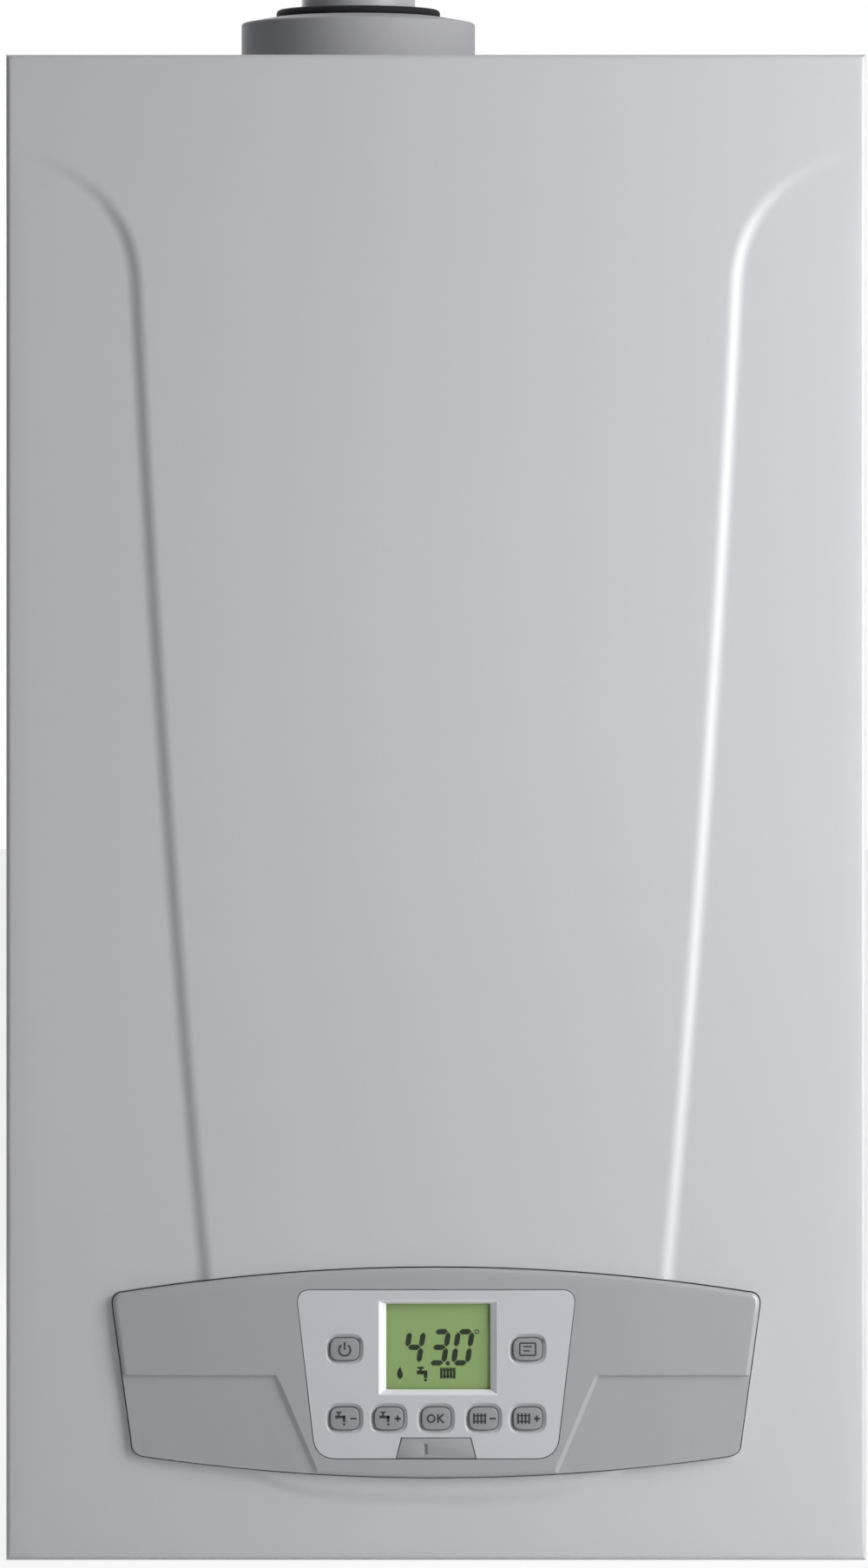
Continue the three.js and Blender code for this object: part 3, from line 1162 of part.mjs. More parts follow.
function leftHydraulicGroup() {
  const body = groupBlock(-GROUP_OUTER, -GROUP_INNER);
  const onTop = (radius, x, y, top, sides) => rodZ(radius, x, y, groupTop - SHEET, top, sides);
  const cartridge = onTop(DIVERTER_RADIUS, DIVERTER_X, PORT_Y, groupTop + DIVERTER_HEIGHT);
  const flowBoss = onTop(PIPE_RADIUS + BOSS_WALL, flowFoot.x, flowFoot.y, flowFoot.z, SMALL_ROUND);
  return join(body, cartridge, flowBoss);
}

function diverterMotor() {
  const half = ACTUATOR_WIDTH / 2;
  const section = roundedRectangle(DIVERTER_X - half, DIVERTER_X + half, PORT_Y - half, PORT_Y + half,
    ACTUATOR_CORNER);
  return upward(section, groupTop + DIVERTER_HEIGHT, ACTUATOR_HEIGHT);
}

const rightHydraulicGroup = () => groupBlock(GROUP_INNER, GROUP_OUTER);

// Brazed plates between two end plates, their edges standing out as ribs.
function plateHeatExchanger() {
  const pitch = (PLATE_FRONT - PLATE_REAR) / PLATE_RIBS;
  const top = PLATE_BOTTOM + PLATE_HEIGHT;
  const core = block(-GROUP_INNER + PLATE_RIB_PROUD, GROUP_INNER - PLATE_RIB_PROUD, -PLATE_FRONT, -PLATE_REAR,
    PLATE_BOTTOM + PLATE_RIB_PROUD, top - PLATE_RIB_PROUD);
  const section = roundedRectangle(-GROUP_INNER, GROUP_INNER, PLATE_BOTTOM, top, PLATE_CORNER, 1);
  const plates = Array.from({ length: PLATE_RIBS }, (_, i) => (
    forward(section, -PLATE_REAR - i * pitch, pitch * PLATE_RIB_SHARE)));
  return join(core, ...plates);
}

function pumpBody() {
  const drum = rodY(PUMP_RADIUS, PUMP_X, PUMP_Z, -PUMP_FRONT, -PUMP_REAR);
  const inlet = rodZ(PUMP_PORT_RADIUS + BOSS_WALL, PUMP_X, PORT_Y, groupTop, PUMP_Z, SMALL_ROUND);
  const outlet = rodZ(PUMP_PORT_RADIUS, PUMP_X, pumpPortY, PUMP_Z, PUMP_OUTLET_TOP, SMALL_ROUND);
  const ventBoss = rodZ(VENT_RADIUS - VENT_BOSS_STEP, VENT_X, pumpPortY, PUMP_Z, VENT_FOOT, BORE_SIDES);
  return join(drum, inlet, outlet, ventBoss);
}

// The can behind its clamping flange, with the round plug in the middle of its end.
function pumpMotor() {
  const face = -PUMP_FRONT;
  const end = face - PUMP_MOTOR_LENGTH;
  const can = PUMP_MOTOR_RADIUS - PUMP_FLANGE_PROUD;
  return turnedY([
    [0, face], [PUMP_MOTOR_RADIUS, face], [PUMP_MOTOR_RADIUS, face - PUMP_FLANGE],
    [can, face - PUMP_FLANGE - PUMP_FLANGE_SLOPE], [can, end + PUMP_MOTOR_CHAMFER],
    [PUMP_MOTOR_RADIUS - PUMP_MOTOR_NOSE, end], [PUMP_PLUG_RADIUS, end],
    [PUMP_PLUG_RADIUS, end - PUMP_PLUG_SINK], [0, end - PUMP_PLUG_SINK],
  ], PUMP_X, PUMP_Z);
}

// A float chamber with a narrow waist under its cap.
function airVent() {
  const top = VENT_FOOT + VENT_HEIGHT;
  const cap = top - VENT_CAP_HEIGHT;
  return turnedZ([
    [0, VENT_FOOT], [VENT_RADIUS, VENT_FOOT], [VENT_RADIUS, cap - VENT_SHOULDER],
    [VENT_WAIST, cap - VENT_SHOULDER / 2], [VENT_WAIST, cap], [VENT_CAP, cap + SHEET], [VENT_CAP, top - SHEET],
    [VENT_CAP_TOP, top], [0, top],
  ], VENT_X, pumpPortY, SMALL_ROUND);
}

function condensateTrap() {
  const bore = TRAP_OUTLET_RADIUS - TRAP_WALL;
  const ring = TRAP_FOOT + TRAP_RING_FOOT;
  const ringTop = ring + TRAP_RING_HEIGHT;
  const ringRadius = TRAP_RADIUS + TRAP_RING_PROUD;
  const floor = TRAP_FOOT + TRAP_FLOOR;
  return turnedZ([
    [bore, PORT_END], [TRAP_OUTLET_RADIUS, PORT_END], [TRAP_OUTLET_RADIUS, TRAP_FOOT],
    [TRAP_RADIUS, TRAP_FOOT], [TRAP_RADIUS, ring], [ringRadius, ring], [ringRadius, ringTop],
    [TRAP_RADIUS, ringTop], [TRAP_RADIUS, TRAP_SHOULDER - TRAP_SLOPE], [TRAP_NECK_RADIUS, TRAP_SHOULDER],
    [TRAP_NECK_RADIUS, SUMP_BOTTOM], [0, SUMP_BOTTOM], [0, floor], [bore, floor], [bore, PORT_END],
  ], TRAP_X, TRAP_Y, SMALL_ROUND);
}

// The tank of two pressed halves that meet in a flat seam, hollow, with a nipple under it.
function expansionVessel() {
  const left = -halfWidth + VESSEL_GAP;
  const back = frameFront - VESSEL_SEAM;
  const front = frameFront - VESSEL_REACH + VESSEL_SEAM;
  const top = VESSEL_BOTTOM + VESSEL_HEIGHT;
  const middle = left + VESSEL_WIDTH / 2;
  const tank = (inset) => {
    const round = VESSEL_ROUND - inset;
    const section = roundedRectangle(front + inset, back - inset, VESSEL_BOTTOM + inset, top - inset,
      VESSEL_CORNER - inset);
    return sideways(section, left + VESSEL_ROUND, VESSEL_WIDTH - 2 * VESSEL_ROUND, {
      bevelEnabled: true,
      bevelThickness: round,
      bevelSize: round,
      bevelOffset: -round,
      bevelSegments: VESSEL_SEGMENTS,
    });
  };
  const seamSection = roundedRectangle(front - VESSEL_SEAM, back + VESSEL_SEAM, VESSEL_BOTTOM - VESSEL_SEAM,
    top + VESSEL_SEAM, VESSEL_CORNER + VESSEL_SEAM);
  const seam = sideways(seamSection, middle - VESSEL_SEAM_SHEET / 2, VESSEL_SEAM_SHEET);
  const below = (radius, foot, end) => rodZ(radius, middle, (front + back) / 2, foot, end, PIPE_SIDES);
  const foot = VESSEL_BOTTOM - NIPPLE_LENGTH;
  const nipple = below(NIPPLE_RADIUS, foot, VESSEL_BOTTOM + VESSEL_WALL);
  const bore = below(NIPPLE_BORE, foot - SHEET, VESSEL_BOTTOM + 2 * VESSEL_WALL);
  return cut(join(tank(0), seam, nipple), tank(VESSEL_WALL), bore);
}

function safetyValve() {
  const face = -GROUP_FRONT;
  const end = face - RELIEF_LENGTH;
  const hood = RELIEF_RADIUS + RELIEF_HOOD;
  const body = turnedY([
    [0, face], [RELIEF_RADIUS, face], [RELIEF_RADIUS, face - RELIEF_FOOT],
    [hood, face - RELIEF_FOOT - RELIEF_STEP], [hood, end + RELIEF_NOSE], [RELIEF_RADIUS, end], [0, end],
  ], RELIEF_X, RELIEF_Z, SMALL_ROUND);
  const drain = rodZ(RELIEF_DRAIN.radius, RELIEF_X, face - RELIEF_DRAIN.setBack, RELIEF_Z - RELIEF_DRAIN.drop,
    RELIEF_Z, BORE_SIDES);
  return join(body, drain);
}

// The round section of a grip, with shallow grooves between its lobes.
function gripOutline(radius, x, y) {
  const steps = KNOB_LOBES * KNOB_LOBE_STEPS;
  return outline(Array.from({ length: steps }, (_, i) => {
    const angle = 2 * Math.PI * i / steps;
    const reach = radius * (1 - KNOB_GROOVE * (1 - Math.cos(KNOB_LOBES * angle)));
    return [x + reach * Math.cos(angle), y + reach * Math.sin(angle)];
  }));
}

function safetyValveKnob() {
  const face = -GROUP_FRONT - RELIEF_LENGTH - FIT;
  return forward(gripOutline(RELIEF_KNOB_RADIUS, RELIEF_X, RELIEF_Z), face, RELIEF_KNOB_LENGTH);
}

function fillingTap() {
  const knob = upward(gripOutline(TAP_KNOB_RADIUS, TAP_X, PORT_Y), PORT_END, TAP_KNOB_HEIGHT);
  const stemFoot = PORT_END + TAP_KNOB_HEIGHT / 2;
  const stem = rodZ(TAP_STEM_RADIUS, TAP_X, PORT_Y, stemFoot, GROUP_BOTTOM - FIT, BORE_SIDES);
  return join(knob, stem);
}

function flowPipe() {
  return pipe(bentPath([
    [flowPort.x, flowPort.y, PORT_DROP], [flowPort.x, flowPort.y, FLOW_LEVEL],
    [flowFoot.x, flowFoot.y, FLOW_LEVEL - FLOW_FALL], [flowFoot.x, flowFoot.y, flowFoot.z],
  ], PIPE_BEND), PIPE_RADIUS);
}

function returnPipe() {
  return pipe(bentPath([
    [PUMP_X, pumpPortY, PUMP_OUTLET_TOP], [PUMP_X, pumpPortY, RETURN_LEVEL - RETURN_SPREAD],
    [returnPort.x, returnPort.y, RETURN_LEVEL + RETURN_SPREAD], [returnPort.x, returnPort.y, PORT_DROP],
  ], PIPE_BEND), PIPE_RADIUS);
}

// ---------------------------------------------------------------- materials and assembly

const finish = (color, roughness, metalness) => ({ color, roughness, metalness });
const FINISHES = {
  painted: finish(0xb9bcc0, 0.42, 0.35),
  zinc: finish(0xa9adb0, 0.45, 0.8),
  fascia: finish(0x9da0a4, 0.5, 0),
  keypad: finish(0xbbbdc2, 0.5, 0),
  button: finish(0xb0b2b7, 0.55, 0),
  portCover: finish(0x8d9094, 0.5, 0),
  lens: finish(0xa9c98a, 0.15, 0),
  display: finish(0x87a564, 0.5, 0),
  board: finish(0x2f6b3c, 0.6, 0),
  darkPlastic: finish(0x2c2d2f, 0.6, 0),
  rubber: finish(0x151515, 0.85, 0),
  collar: finish(0x9a9a9e, 0.4, 0.4),
  flue: finish(0xd6d6d8, 0.45, 0),
  stainless: finish(0xb5b7b9, 0.3, 0.9),
  castAluminium: finish(0x9c9fa2, 0.5, 0.8),
  brass: finish(0xb8964a, 0.35, 0.9),
  copper: finish(0xb87350, 0.35, 0.9),
  vessel: finish(0xb23a2e, 0.5, 0.2),
  whitePlastic: finish(0xdedede, 0.5, 0),
  redPlastic: finish(0xb3231d, 0.5, 0),
  bluePlastic: finish(0x24569b, 0.5, 0),
};

function meshOf(name, body, look) {
  const { vertProperties, triVerts, numProp } = body.getMesh();
  const positions = new Float32Array(vertProperties.length / numProp * 3);
  for (let i = 0; i < positions.length / 3; i += 1) {
    positions.set(vertProperties.subarray(i * numProp, i * numProp + 3), i * 3);
  }
  const geometry = new THREE.BufferGeometry();
  geometry.setAttribute('position', new THREE.BufferAttribute(positions, 3));
  geometry.setIndex(Array.from(triVerts));
  geometry.computeVertexNormals();
  const mesh = new THREE.Mesh(geometry, new THREE.MeshStandardMaterial(FINISHES[look]));
  mesh.name = name;
  return mesh;
}

function assembly(entries) {
  const group = new THREE.Group();
  entries.forEach(([name, body, look]) => group.add(meshOf(name, body, look)));
  return group;
}

const casing = assembly([
  ['rear_frame', rearFrame(), 'zinc'],
  ['left_side_panel', sidePanel(-1), 'painted'],
  ['right_side_panel', sidePanel(1), 'painted'],
  ['top_panel', topPanel(), 'painted'],
  ['bottom_panel', bottomPanel(), 'zinc'],
  ['front_cover', frontCover(), 'painted'],
  ['cover_seal', coverSeal(), 'rubber'],
]);

const controlBox = assembly([
  ['fascia', fascia(), 'fascia'],
  ['keypad_plate', keypadPlate(), 'keypad'],
  ['display_lens', lensBox(LENS_MARGIN, keypadBack, lensBack), 'lens'],
  ['display_module', lensBox(LENS_MARGIN, lensBack, displayBack), 'display'],
  ['service_port_cover', portCover(), 'portCover'],
  ['display_board', displayBoard(), 'board'],
  ['main_board', mainBoard(), 'board'],
  ['control_box_housing', controlBoxHousing(), 'darkPlastic'],
  ['control_box_lid', controlBoxLid(), 'darkPlastic'],
  ['hinge_bracket_left', hingeBracket(-1), 'zinc'],
  ['hinge_bracket_right', hingeBracket(1), 'zinc'],
  ...buttons.map(({ name, x, z }) => [name, button(x, z), 'button']),
]);

const flue = assembly([
  ['adapter_gasket', adapterGasket(), 'rubber'],
  ['flue_adapter', flueAdapter(), 'collar'],
  ['flue_lip_seal', flueLipSeal(), 'rubber'],
  ['flue_spigot', flueSpigot(), 'flue'],
  ['flue_duct', flueDuct(), 'flue'],
]);

const burner = assembly([
  ['heat_exchanger', heatExchanger(), 'stainless'],
  ['burner_door', burnerDoor(), 'castAluminium'],
  ['burner_tube', burnerTube(), 'stainless'],
  ['ignition_electrode', ignitionElectrode(), 'whitePlastic'],
  ['gas_air_elbow', gasAirElbow(), 'castAluminium'],
  ['fan_housing', fanHousing(), 'castAluminium'],
  ['fan_impeller', fanImpeller(), 'stainless'],
  ['fan_motor', fanMotor(), 'darkPlastic'],
  ['gas_air_mixer', gasAirMixer(), 'castAluminium'],
  ['gas_valve', gasValve(), 'castAluminium'],
  ['gas_pipe', gasPipe(), 'copper'],
]);

const water = assembly([
  ['expansion_vessel', expansionVessel(), 'vessel'],
  ['left_hydraulic_group', leftHydraulicGroup(), 'brass'],
  ['diverter_motor', diverterMotor(), 'whitePlastic'],
  ['plate_heat_exchanger', plateHeatExchanger(), 'stainless'],
  ['right_hydraulic_group', rightHydraulicGroup(), 'brass'],
  ['pump_body', pumpBody(), 'brass'],
  ['pump_motor', pumpMotor(), 'darkPlastic'],
  ['air_vent', airVent(), 'brass'],
  ['safety_valve', safetyValve(), 'brass'],
  ['safety_valve_knob', safetyValveKnob(), 'redPlastic'],
  ['filling_tap', fillingTap(), 'bluePlastic'],
  ['condensate_trap', condensateTrap(), 'whitePlastic'],
  ['flow_pipe', flowPipe(), 'copper'],
  ['return_pipe', returnPipe(), 'copper'],
  ...ports.map((port) => [port.name, portStub(port), 'brass']),
]);

const group = new THREE.Group();
group.add(casing, controlBox, flue, burner, water);
group.position.z = -HANG_HEIGHT;
export default group;
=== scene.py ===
# %% [markdown]
# # A wall-hung combi boiler
#
# The imported CAD model is the frame of this scene: it says how large every part is, where it sits and
# how it moves. Blender adds what the eye looks for, which is smooth pressed sheet, moulded plastic,
# a display with its figures, printed key symbols, threads and screws, and a finish for every surface.

# %% Load the frame
import json
import math

import bmesh
import bpy
from mathutils import Matrix, Vector


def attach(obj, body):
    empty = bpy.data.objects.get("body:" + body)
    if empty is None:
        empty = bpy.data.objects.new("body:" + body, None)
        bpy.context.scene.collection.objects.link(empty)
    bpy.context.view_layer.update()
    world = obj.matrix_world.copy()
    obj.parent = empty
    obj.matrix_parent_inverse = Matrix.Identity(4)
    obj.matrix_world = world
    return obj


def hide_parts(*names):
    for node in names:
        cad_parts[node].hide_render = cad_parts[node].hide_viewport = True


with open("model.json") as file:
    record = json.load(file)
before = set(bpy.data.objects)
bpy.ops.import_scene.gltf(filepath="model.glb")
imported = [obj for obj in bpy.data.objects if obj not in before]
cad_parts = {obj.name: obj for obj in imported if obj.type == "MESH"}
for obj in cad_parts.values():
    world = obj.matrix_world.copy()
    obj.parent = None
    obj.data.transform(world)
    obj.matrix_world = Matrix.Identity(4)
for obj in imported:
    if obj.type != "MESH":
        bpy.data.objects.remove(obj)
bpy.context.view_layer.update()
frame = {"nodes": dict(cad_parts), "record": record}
scene = bpy.context.scene
nodes = frame["nodes"]
print("parts in the frame:", len(nodes))

# %% [markdown]
# ## Units and places
#
# Blender works in metres, and a boiler is drawn in millimetres. Heights on a drawing are counted from
# the casing's bottom edge, while the frame's origin is on the hanging rail, 655 mm above that edge.
# One small function turns drawing places into frame places, so that the numbers below can be read off
# a drawing.

# %% Units and shared places
MM = 0.001
HANG = 655
HALF_WIDTH = 200
HEIGHT = 700
COVER_FACE = -292
COVER_BACK = -272
FASCIA_FRONT = -299
FASCIA_BACK = -285
KEYPAD_FRONT = -298.4
KEYPAD_BACK = -295.9
STUB_Y = -100
FLUE_X, FLUE_Y = -37, -170


def place(x, y, z):
    return Vector((x, y, z - HANG)) * MM


# %% [markdown]
# ## Tools for making pieces
#
# Every piece starts as a bmesh, Blender's editable mesh in memory. An outline is a ring of points with
# one face, which is extruded into a plate. A round part is a half profile that is spun about its axis.
# Where one form is cut out of another, a Boolean modifier does it and is applied at once, because the
# cutting form isn't part of the boiler. At the end a piece gets smooth shading with sharp edges where
# two faces meet at a clear angle, its material, and the body it rides on.

# %% Tools for making pieces
def ring_face(form, points):
    return form.faces.new([form.verts.new(point) for point in points])


def push_out(form, faces, y=0, z=0):
    """Extrudes faces, moves the new end by millimetres and gives its vertices."""
    made = bmesh.ops.extrude_face_region(form, geom=faces)["geom"]
    end = [v for v in made if isinstance(v, bmesh.types.BMVert)]
    bmesh.ops.translate(form, verts=end, vec=Vector((0, y, z)) * MM)
    return end


def plate(outline, y_front, y_back):
    """A flat outline in (x, z) as a closed plate between two depths."""
    form = bmesh.new()
    face = ring_face(form, [place(x, y_front, z) for x, z in outline])
    push_out(form, [face], y=y_back - y_front)
    bmesh.ops.recalc_face_normals(form, faces=form.faces)
    return form


def sorted_grid(columns, rows):
    """A grid of faces, and its vertices row by row from the lower left."""
    form = bmesh.new()
    bmesh.ops.create_grid(form, x_segments=columns, y_segments=rows, size=1)
    return form, sorted(form.verts, key=lambda v: (round(v.co.y, 5), round(v.co.x, 5)))


def face_forward(form):
    """Turns all faces outwards: the foremost one has to look to the front."""
    bmesh.ops.recalc_face_normals(form, faces=form.faces)
    if min(form.faces, key=lambda face: face.calc_center_median().y).normal.y > 0:
        bmesh.ops.reverse_faces(form, faces=form.faces)


def turned(profile, centre, axis, steps=72):
    """A profile of (radius, distance along the axis) in millimetres, spun about an axis."""
    form = bmesh.new()
    start = place(*centre)
    along = Vector(axis)
    out = Vector((1, 0, 0)) if abs(along.x) < 0.5 else Vector((0, 0, 1))
    ring = [form.verts.new(start + out * r * MM + along * d * MM) for r, d in profile]
    edges = [form.edges.new(pair) for pair in zip(ring, ring[1:] + ring[:1])]
    bmesh.ops.spin(form, geom=ring + edges, cent=start, axis=along, angle=2 * math.pi,
                   steps=steps, use_merge=True, use_duplicate=False)
    bmesh.ops.remove_doubles(form, verts=form.verts, dist=1e-6)
    bmesh.ops.recalc_face_normals(form, faces=form.faces)
    return form


def object_of(name, form):
    mesh = bpy.data.meshes.new(name)
    form.to_mesh(mesh)
    form.free()
    thing = bpy.data.objects.new(name, mesh)
    scene.collection.objects.link(thing)
    return thing


def apply_modifiers(thing):
    graph = bpy.context.evaluated_depsgraph_get()
    mesh = bpy.data.meshes.new_from_object(thing.evaluated_get(graph))
    thing.modifiers.clear()
    thing.data = mesh


def carve(thing, *cutters):
    for cutter in cutters:
        cut = thing.modifiers.new("cut", "BOOLEAN")
        cut.operation = "DIFFERENCE"
        cut.solver = "EXACT"
        cut.object = cutter
    apply_modifiers(thing)
    for cutter in cutters:
        bpy.data.objects.remove(cutter)


def thicken(thing, thickness):
    sheet = thing.modifiers.new("sheet", "SOLIDIFY")
    sheet.thickness = thickness * MM
    sheet.offset = -1
    apply_modifiers(thing)


def round_edges(thing, width, segments=2, angle=40):
    bevel = thing.modifiers.new("edges", "BEVEL")
    bevel.width = width * MM
    bevel.segments = segments
    bevel.limit_method = "ANGLE"
    bevel.angle_limit = math.radians(angle)
    bevel.use_clamp_overlap = True
    apply_modifiers(thing)


def shade(thing, angle=35):
    for face in thing.data.polygons:
        face.use_smooth = True
    thing.data.set_sharp_from_angle(angle=math.radians(angle))


def dress(thing, material, body, slot, *stands_for, angle=35):
    """Shading, finish and body of a finished piece, and the CAD nodes it stands for; the slot is not used."""
    shade(thing, angle)
    thing.data.materials.clear()
    thing.data.materials.append(material)
    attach(thing, body)
    if stands_for:
        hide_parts(*stands_for)
    return thing


# %% [markdown]
# ## Effects shared by several finishes
#
# A finish is never one flat colour. Three node groups hold the effects that many of the boiler's
# materials need: a fine grain for paint, plastic and castings, a brushed grain for drawn metal, and the
# frost flowers of a zinc coat. Each group gives colours, roughness and height, and the shader itself
# stays in the material. They read Object coordinates, so a pattern keeps its real size.

# %% Node helpers
def add(tree, kind, inputs=None, **settings):
    made = tree.nodes.new(kind)
    for key, value in settings.items():
        setattr(made, key, value)
    for key, value in (inputs or {}).items():
        made.inputs[key].default_value = value
    return made


def link(tree, source, output, target, socket):
    tree.links.new(source.outputs[output], target.inputs[socket])


def new_group(name, inputs, outputs):
    group = bpy.data.node_groups.new(name, "ShaderNodeTree")
    for label, kind, value in inputs:
        made = group.interface.new_socket(label, in_out="INPUT", socket_type=kind)
        made.default_value = value
    for label, kind in outputs:
        group.interface.new_socket(label, in_out="OUTPUT", socket_type=kind)
    return group, group.nodes.new("NodeGroupInput"), group.nodes.new("NodeGroupOutput")


FLOAT, COLOR, VECTOR = "NodeSocketFloat", "NodeSocketColor", "NodeSocketVector"
SURFACE_OUTPUTS = [("Color", COLOR), ("Roughness", FLOAT), ("Height", FLOAT)]


def colour_by(group, inside, factor_node, factor_output, outside):
    """Blends the group's two colours and two roughnesses by one factor."""
    mix = add(group, "ShaderNodeMix", data_type="RGBA")
    link(group, factor_node, factor_output, mix, 0)
    link(group, inside, "Dark", mix, 6)
    link(group, inside, "Light", mix, 7)
    link(group, mix, 2, outside, "Color")
    rough = add(group, "ShaderNodeMapRange")
    link(group, factor_node, factor_output, rough, "Value")
    link(group, inside, "Rough from", rough, "To Min")
    link(group, inside, "Rough to", rough, "To Max")
    link(group, rough, "Result", outside, "Roughness")


# %% Fine grain
grain, grain_in, grain_out = new_group("fine grain", [
    ("Light", COLOR, (0.8, 0.8, 0.8, 1)), ("Dark", COLOR, (0.7, 0.7, 0.7, 1)),
    ("Broad scale", FLOAT, 12.0), ("Fine scale", FLOAT, 900.0),
    ("Rough from", FLOAT, 0.4), ("Rough to", FLOAT, 0.5)], SURFACE_OUTPUTS)
grain_place = add(grain, "ShaderNodeTexCoord")
broad = add(grain, "ShaderNodeTexNoise", {"Detail": 3.0})
fine = add(grain, "ShaderNodeTexNoise", {"Detail": 2.0})
total = add(grain, "ShaderNodeMath", operation="ADD")
for slot, (noise, scale) in enumerate(((broad, "Broad scale"), (fine, "Fine scale"))):
    halved = add(grain, "ShaderNodeMath", {1: 0.5}, operation="MULTIPLY")
    link(grain, grain_place, "Object", noise, "Vector")
    link(grain, grain_in, scale, noise, "Scale")
    link(grain, noise, "Fac", halved, 0)
    link(grain, halved, 0, total, slot)
colour_by(grain, grain_in, total, 0, grain_out)
link(grain, fine, "Fac", grain_out, "Height")

# %% Brushed grain
brushed, brushed_in, brushed_out = new_group("brushed grain", [
    ("Light", COLOR, (0.8, 0.8, 0.8, 1)), ("Dark", COLOR, (0.6, 0.6, 0.6, 1)),
    ("Stretch", VECTOR, (900.0, 30.0, 900.0)),
    ("Rough from", FLOAT, 0.25), ("Rough to", FLOAT, 0.45)], SURFACE_OUTPUTS)
brushed_place = add(brushed, "ShaderNodeTexCoord")
stretch = add(brushed, "ShaderNodeMapping")
streaks = add(brushed, "ShaderNodeTexNoise", {"Scale": 1.0, "Detail": 3.0})
link(brushed, brushed_place, "Object", stretch, "Vector")
link(brushed, brushed_in, "Stretch", stretch, "Scale")
link(brushed, stretch, "Vector", streaks, "Vector")
colour_by(brushed, brushed_in, streaks, "Fac", brushed_out)
link(brushed, streaks, "Fac", brushed_out, "Height")

# %% Zinc flowers
spangle, spangle_in, spangle_out = new_group("zinc flowers", [
    ("Light", COLOR, (0.7, 0.7, 0.7, 1)), ("Dark", COLOR, (0.5, 0.5, 0.5, 1)),
    ("Scale", FLOAT, 110.0), ("Rough from", FLOAT, 0.35), ("Rough to", FLOAT, 0.55)], SURFACE_OUTPUTS)
spangle_place = add(spangle, "ShaderNodeTexCoord")
cells = add(spangle, "ShaderNodeTexVoronoi", feature="F1")
spread = add(spangle, "ShaderNodeSeparateColor")
link(spangle, spangle_place, "Object", cells, "Vector")
link(spangle, spangle_in, "Scale", cells, "Scale")
link(spangle, cells, "Color", spread, "Color")
colour_by(spangle, spangle_in, spread, "Red", spangle_out)
link(spangle, cells, "Distance", spangle_out, "Height")

# %% [markdown]
# ## The finishes
#
# Each material is one Principled shader fed by one of the groups. A small function sets up what they
# have in common. The paint of the casing is a silver lacquer: partly metallic, with a fine flake and
# the slight orange peel that powder paint has.

# %% Finishes
def surface(name, effect, light, dark, rough, relief=0.0, sockets=None, scales=(), **values):
    """A material whose colour, roughness and bump come from one shared effect."""
    material = bpy.data.materials.new(name)
    material.use_nodes = True
    tree = material.node_tree
    shader = tree.nodes["Principled BSDF"]
    pattern = add(tree, "ShaderNodeGroup", node_tree=effect)
    pattern.inputs["Light"].default_value = (*light, 1)
    pattern.inputs["Dark"].default_value = (*dark, 1)
    pattern.inputs["Rough from"].default_value, pattern.inputs["Rough to"].default_value = rough
    for label, value in (*zip(("Broad scale", "Fine scale"), scales), *values.items()):
        pattern.inputs[label.capitalize()].default_value = value
    for key, value in (sockets or {}).items():
        shader.inputs[key].default_value = value
    link(tree, pattern, "Color", shader, "Base Color")
    link(tree, pattern, "Roughness", shader, "Roughness")
    if relief:
        bump = add(tree, "ShaderNodeBump", {"Strength": 1.0, "Distance": relief * MM})
        link(tree, pattern, "Height", bump, "Height")
        link(tree, bump, "Normal", shader, "Normal")
    return material


paint = surface("silver_paint", grain, (0.515, 0.518, 0.532), (0.475, 0.478, 0.492), (0.42, 0.5), 0.012,
                {"Metallic": 0.03, "Specular IOR Level": 0.4, "Coat Weight": 0.2, "Coat Roughness": 0.28},
                scales=(5.0, 1400.0))
zinc = surface("zinc_sheet", spangle, (0.47, 0.48, 0.49), (0.39, 0.40, 0.41), (0.38, 0.48), 0.01,
               {"Metallic": 0.8}, scale=170.0)
rubber = surface("black_rubber", grain, (0.016, 0.016, 0.017), (0.009, 0.009, 0.010), (0.7, 0.85), 0.03,
                 {"Specular IOR Level": 0.2}, scales=(60.0, 1500.0))
fascia_finish = surface("fascia_plastic", grain, (0.312, 0.316, 0.331), (0.280, 0.284, 0.298), (0.38, 0.46),
                        0.02, {"Coat Weight": 1.0, "Coat Roughness": 0.12}, scales=(14.0, 2200.0))
keypad_finish = surface("keypad_plastic", grain, (0.505, 0.51, 0.535), (0.465, 0.47, 0.495), (0.36, 0.45),
                        0.02, {"Coat Weight": 0.3, "Coat Roughness": 0.2}, scales=(22.0, 2600.0))
button_finish = surface("button_plastic", grain, (0.265, 0.269, 0.281), (0.237, 0.241, 0.253), (0.42, 0.52),
                        0.015, scales=(60.0, 3000.0))
tab_finish = surface("tab_plastic", grain, (0.305, 0.31, 0.32), (0.275, 0.28, 0.29), (0.45, 0.55),
                     0.02, scales=(30.0, 2400.0))
dark_plastic = surface("dark_plastic", grain, (0.035, 0.036, 0.038), (0.024, 0.025, 0.026), (0.45, 0.6),
                       0.03, scales=(25.0, 1800.0))
white_plastic = surface("white_plastic", grain, (0.74, 0.74, 0.73), (0.68, 0.68, 0.67), (0.42, 0.52),
                        0.02, scales=(18.0, 1700.0))
red_plastic = surface("red_plastic", grain, (0.50, 0.025, 0.018), (0.40, 0.018, 0.013), (0.4, 0.5),
                      0.02, scales=(40.0, 1700.0))
blue_plastic = surface("blue_plastic", grain, (0.022, 0.10, 0.36), (0.016, 0.075, 0.29), (0.4, 0.5),
                       0.02, scales=(40.0, 1700.0))
collar_finish = surface("collar_paint", grain, (0.45, 0.45, 0.47), (0.405, 0.405, 0.425), (0.5, 0.6), 0.02,
                        {"Specular IOR Level": 0.06}, scales=(16.0, 1600.0))
flue_finish = surface("flue_plastic", grain, (0.50, 0.50, 0.51), (0.46, 0.46, 0.47), (0.35, 0.45), 0.02,
                      scales=(20.0, 1500.0))
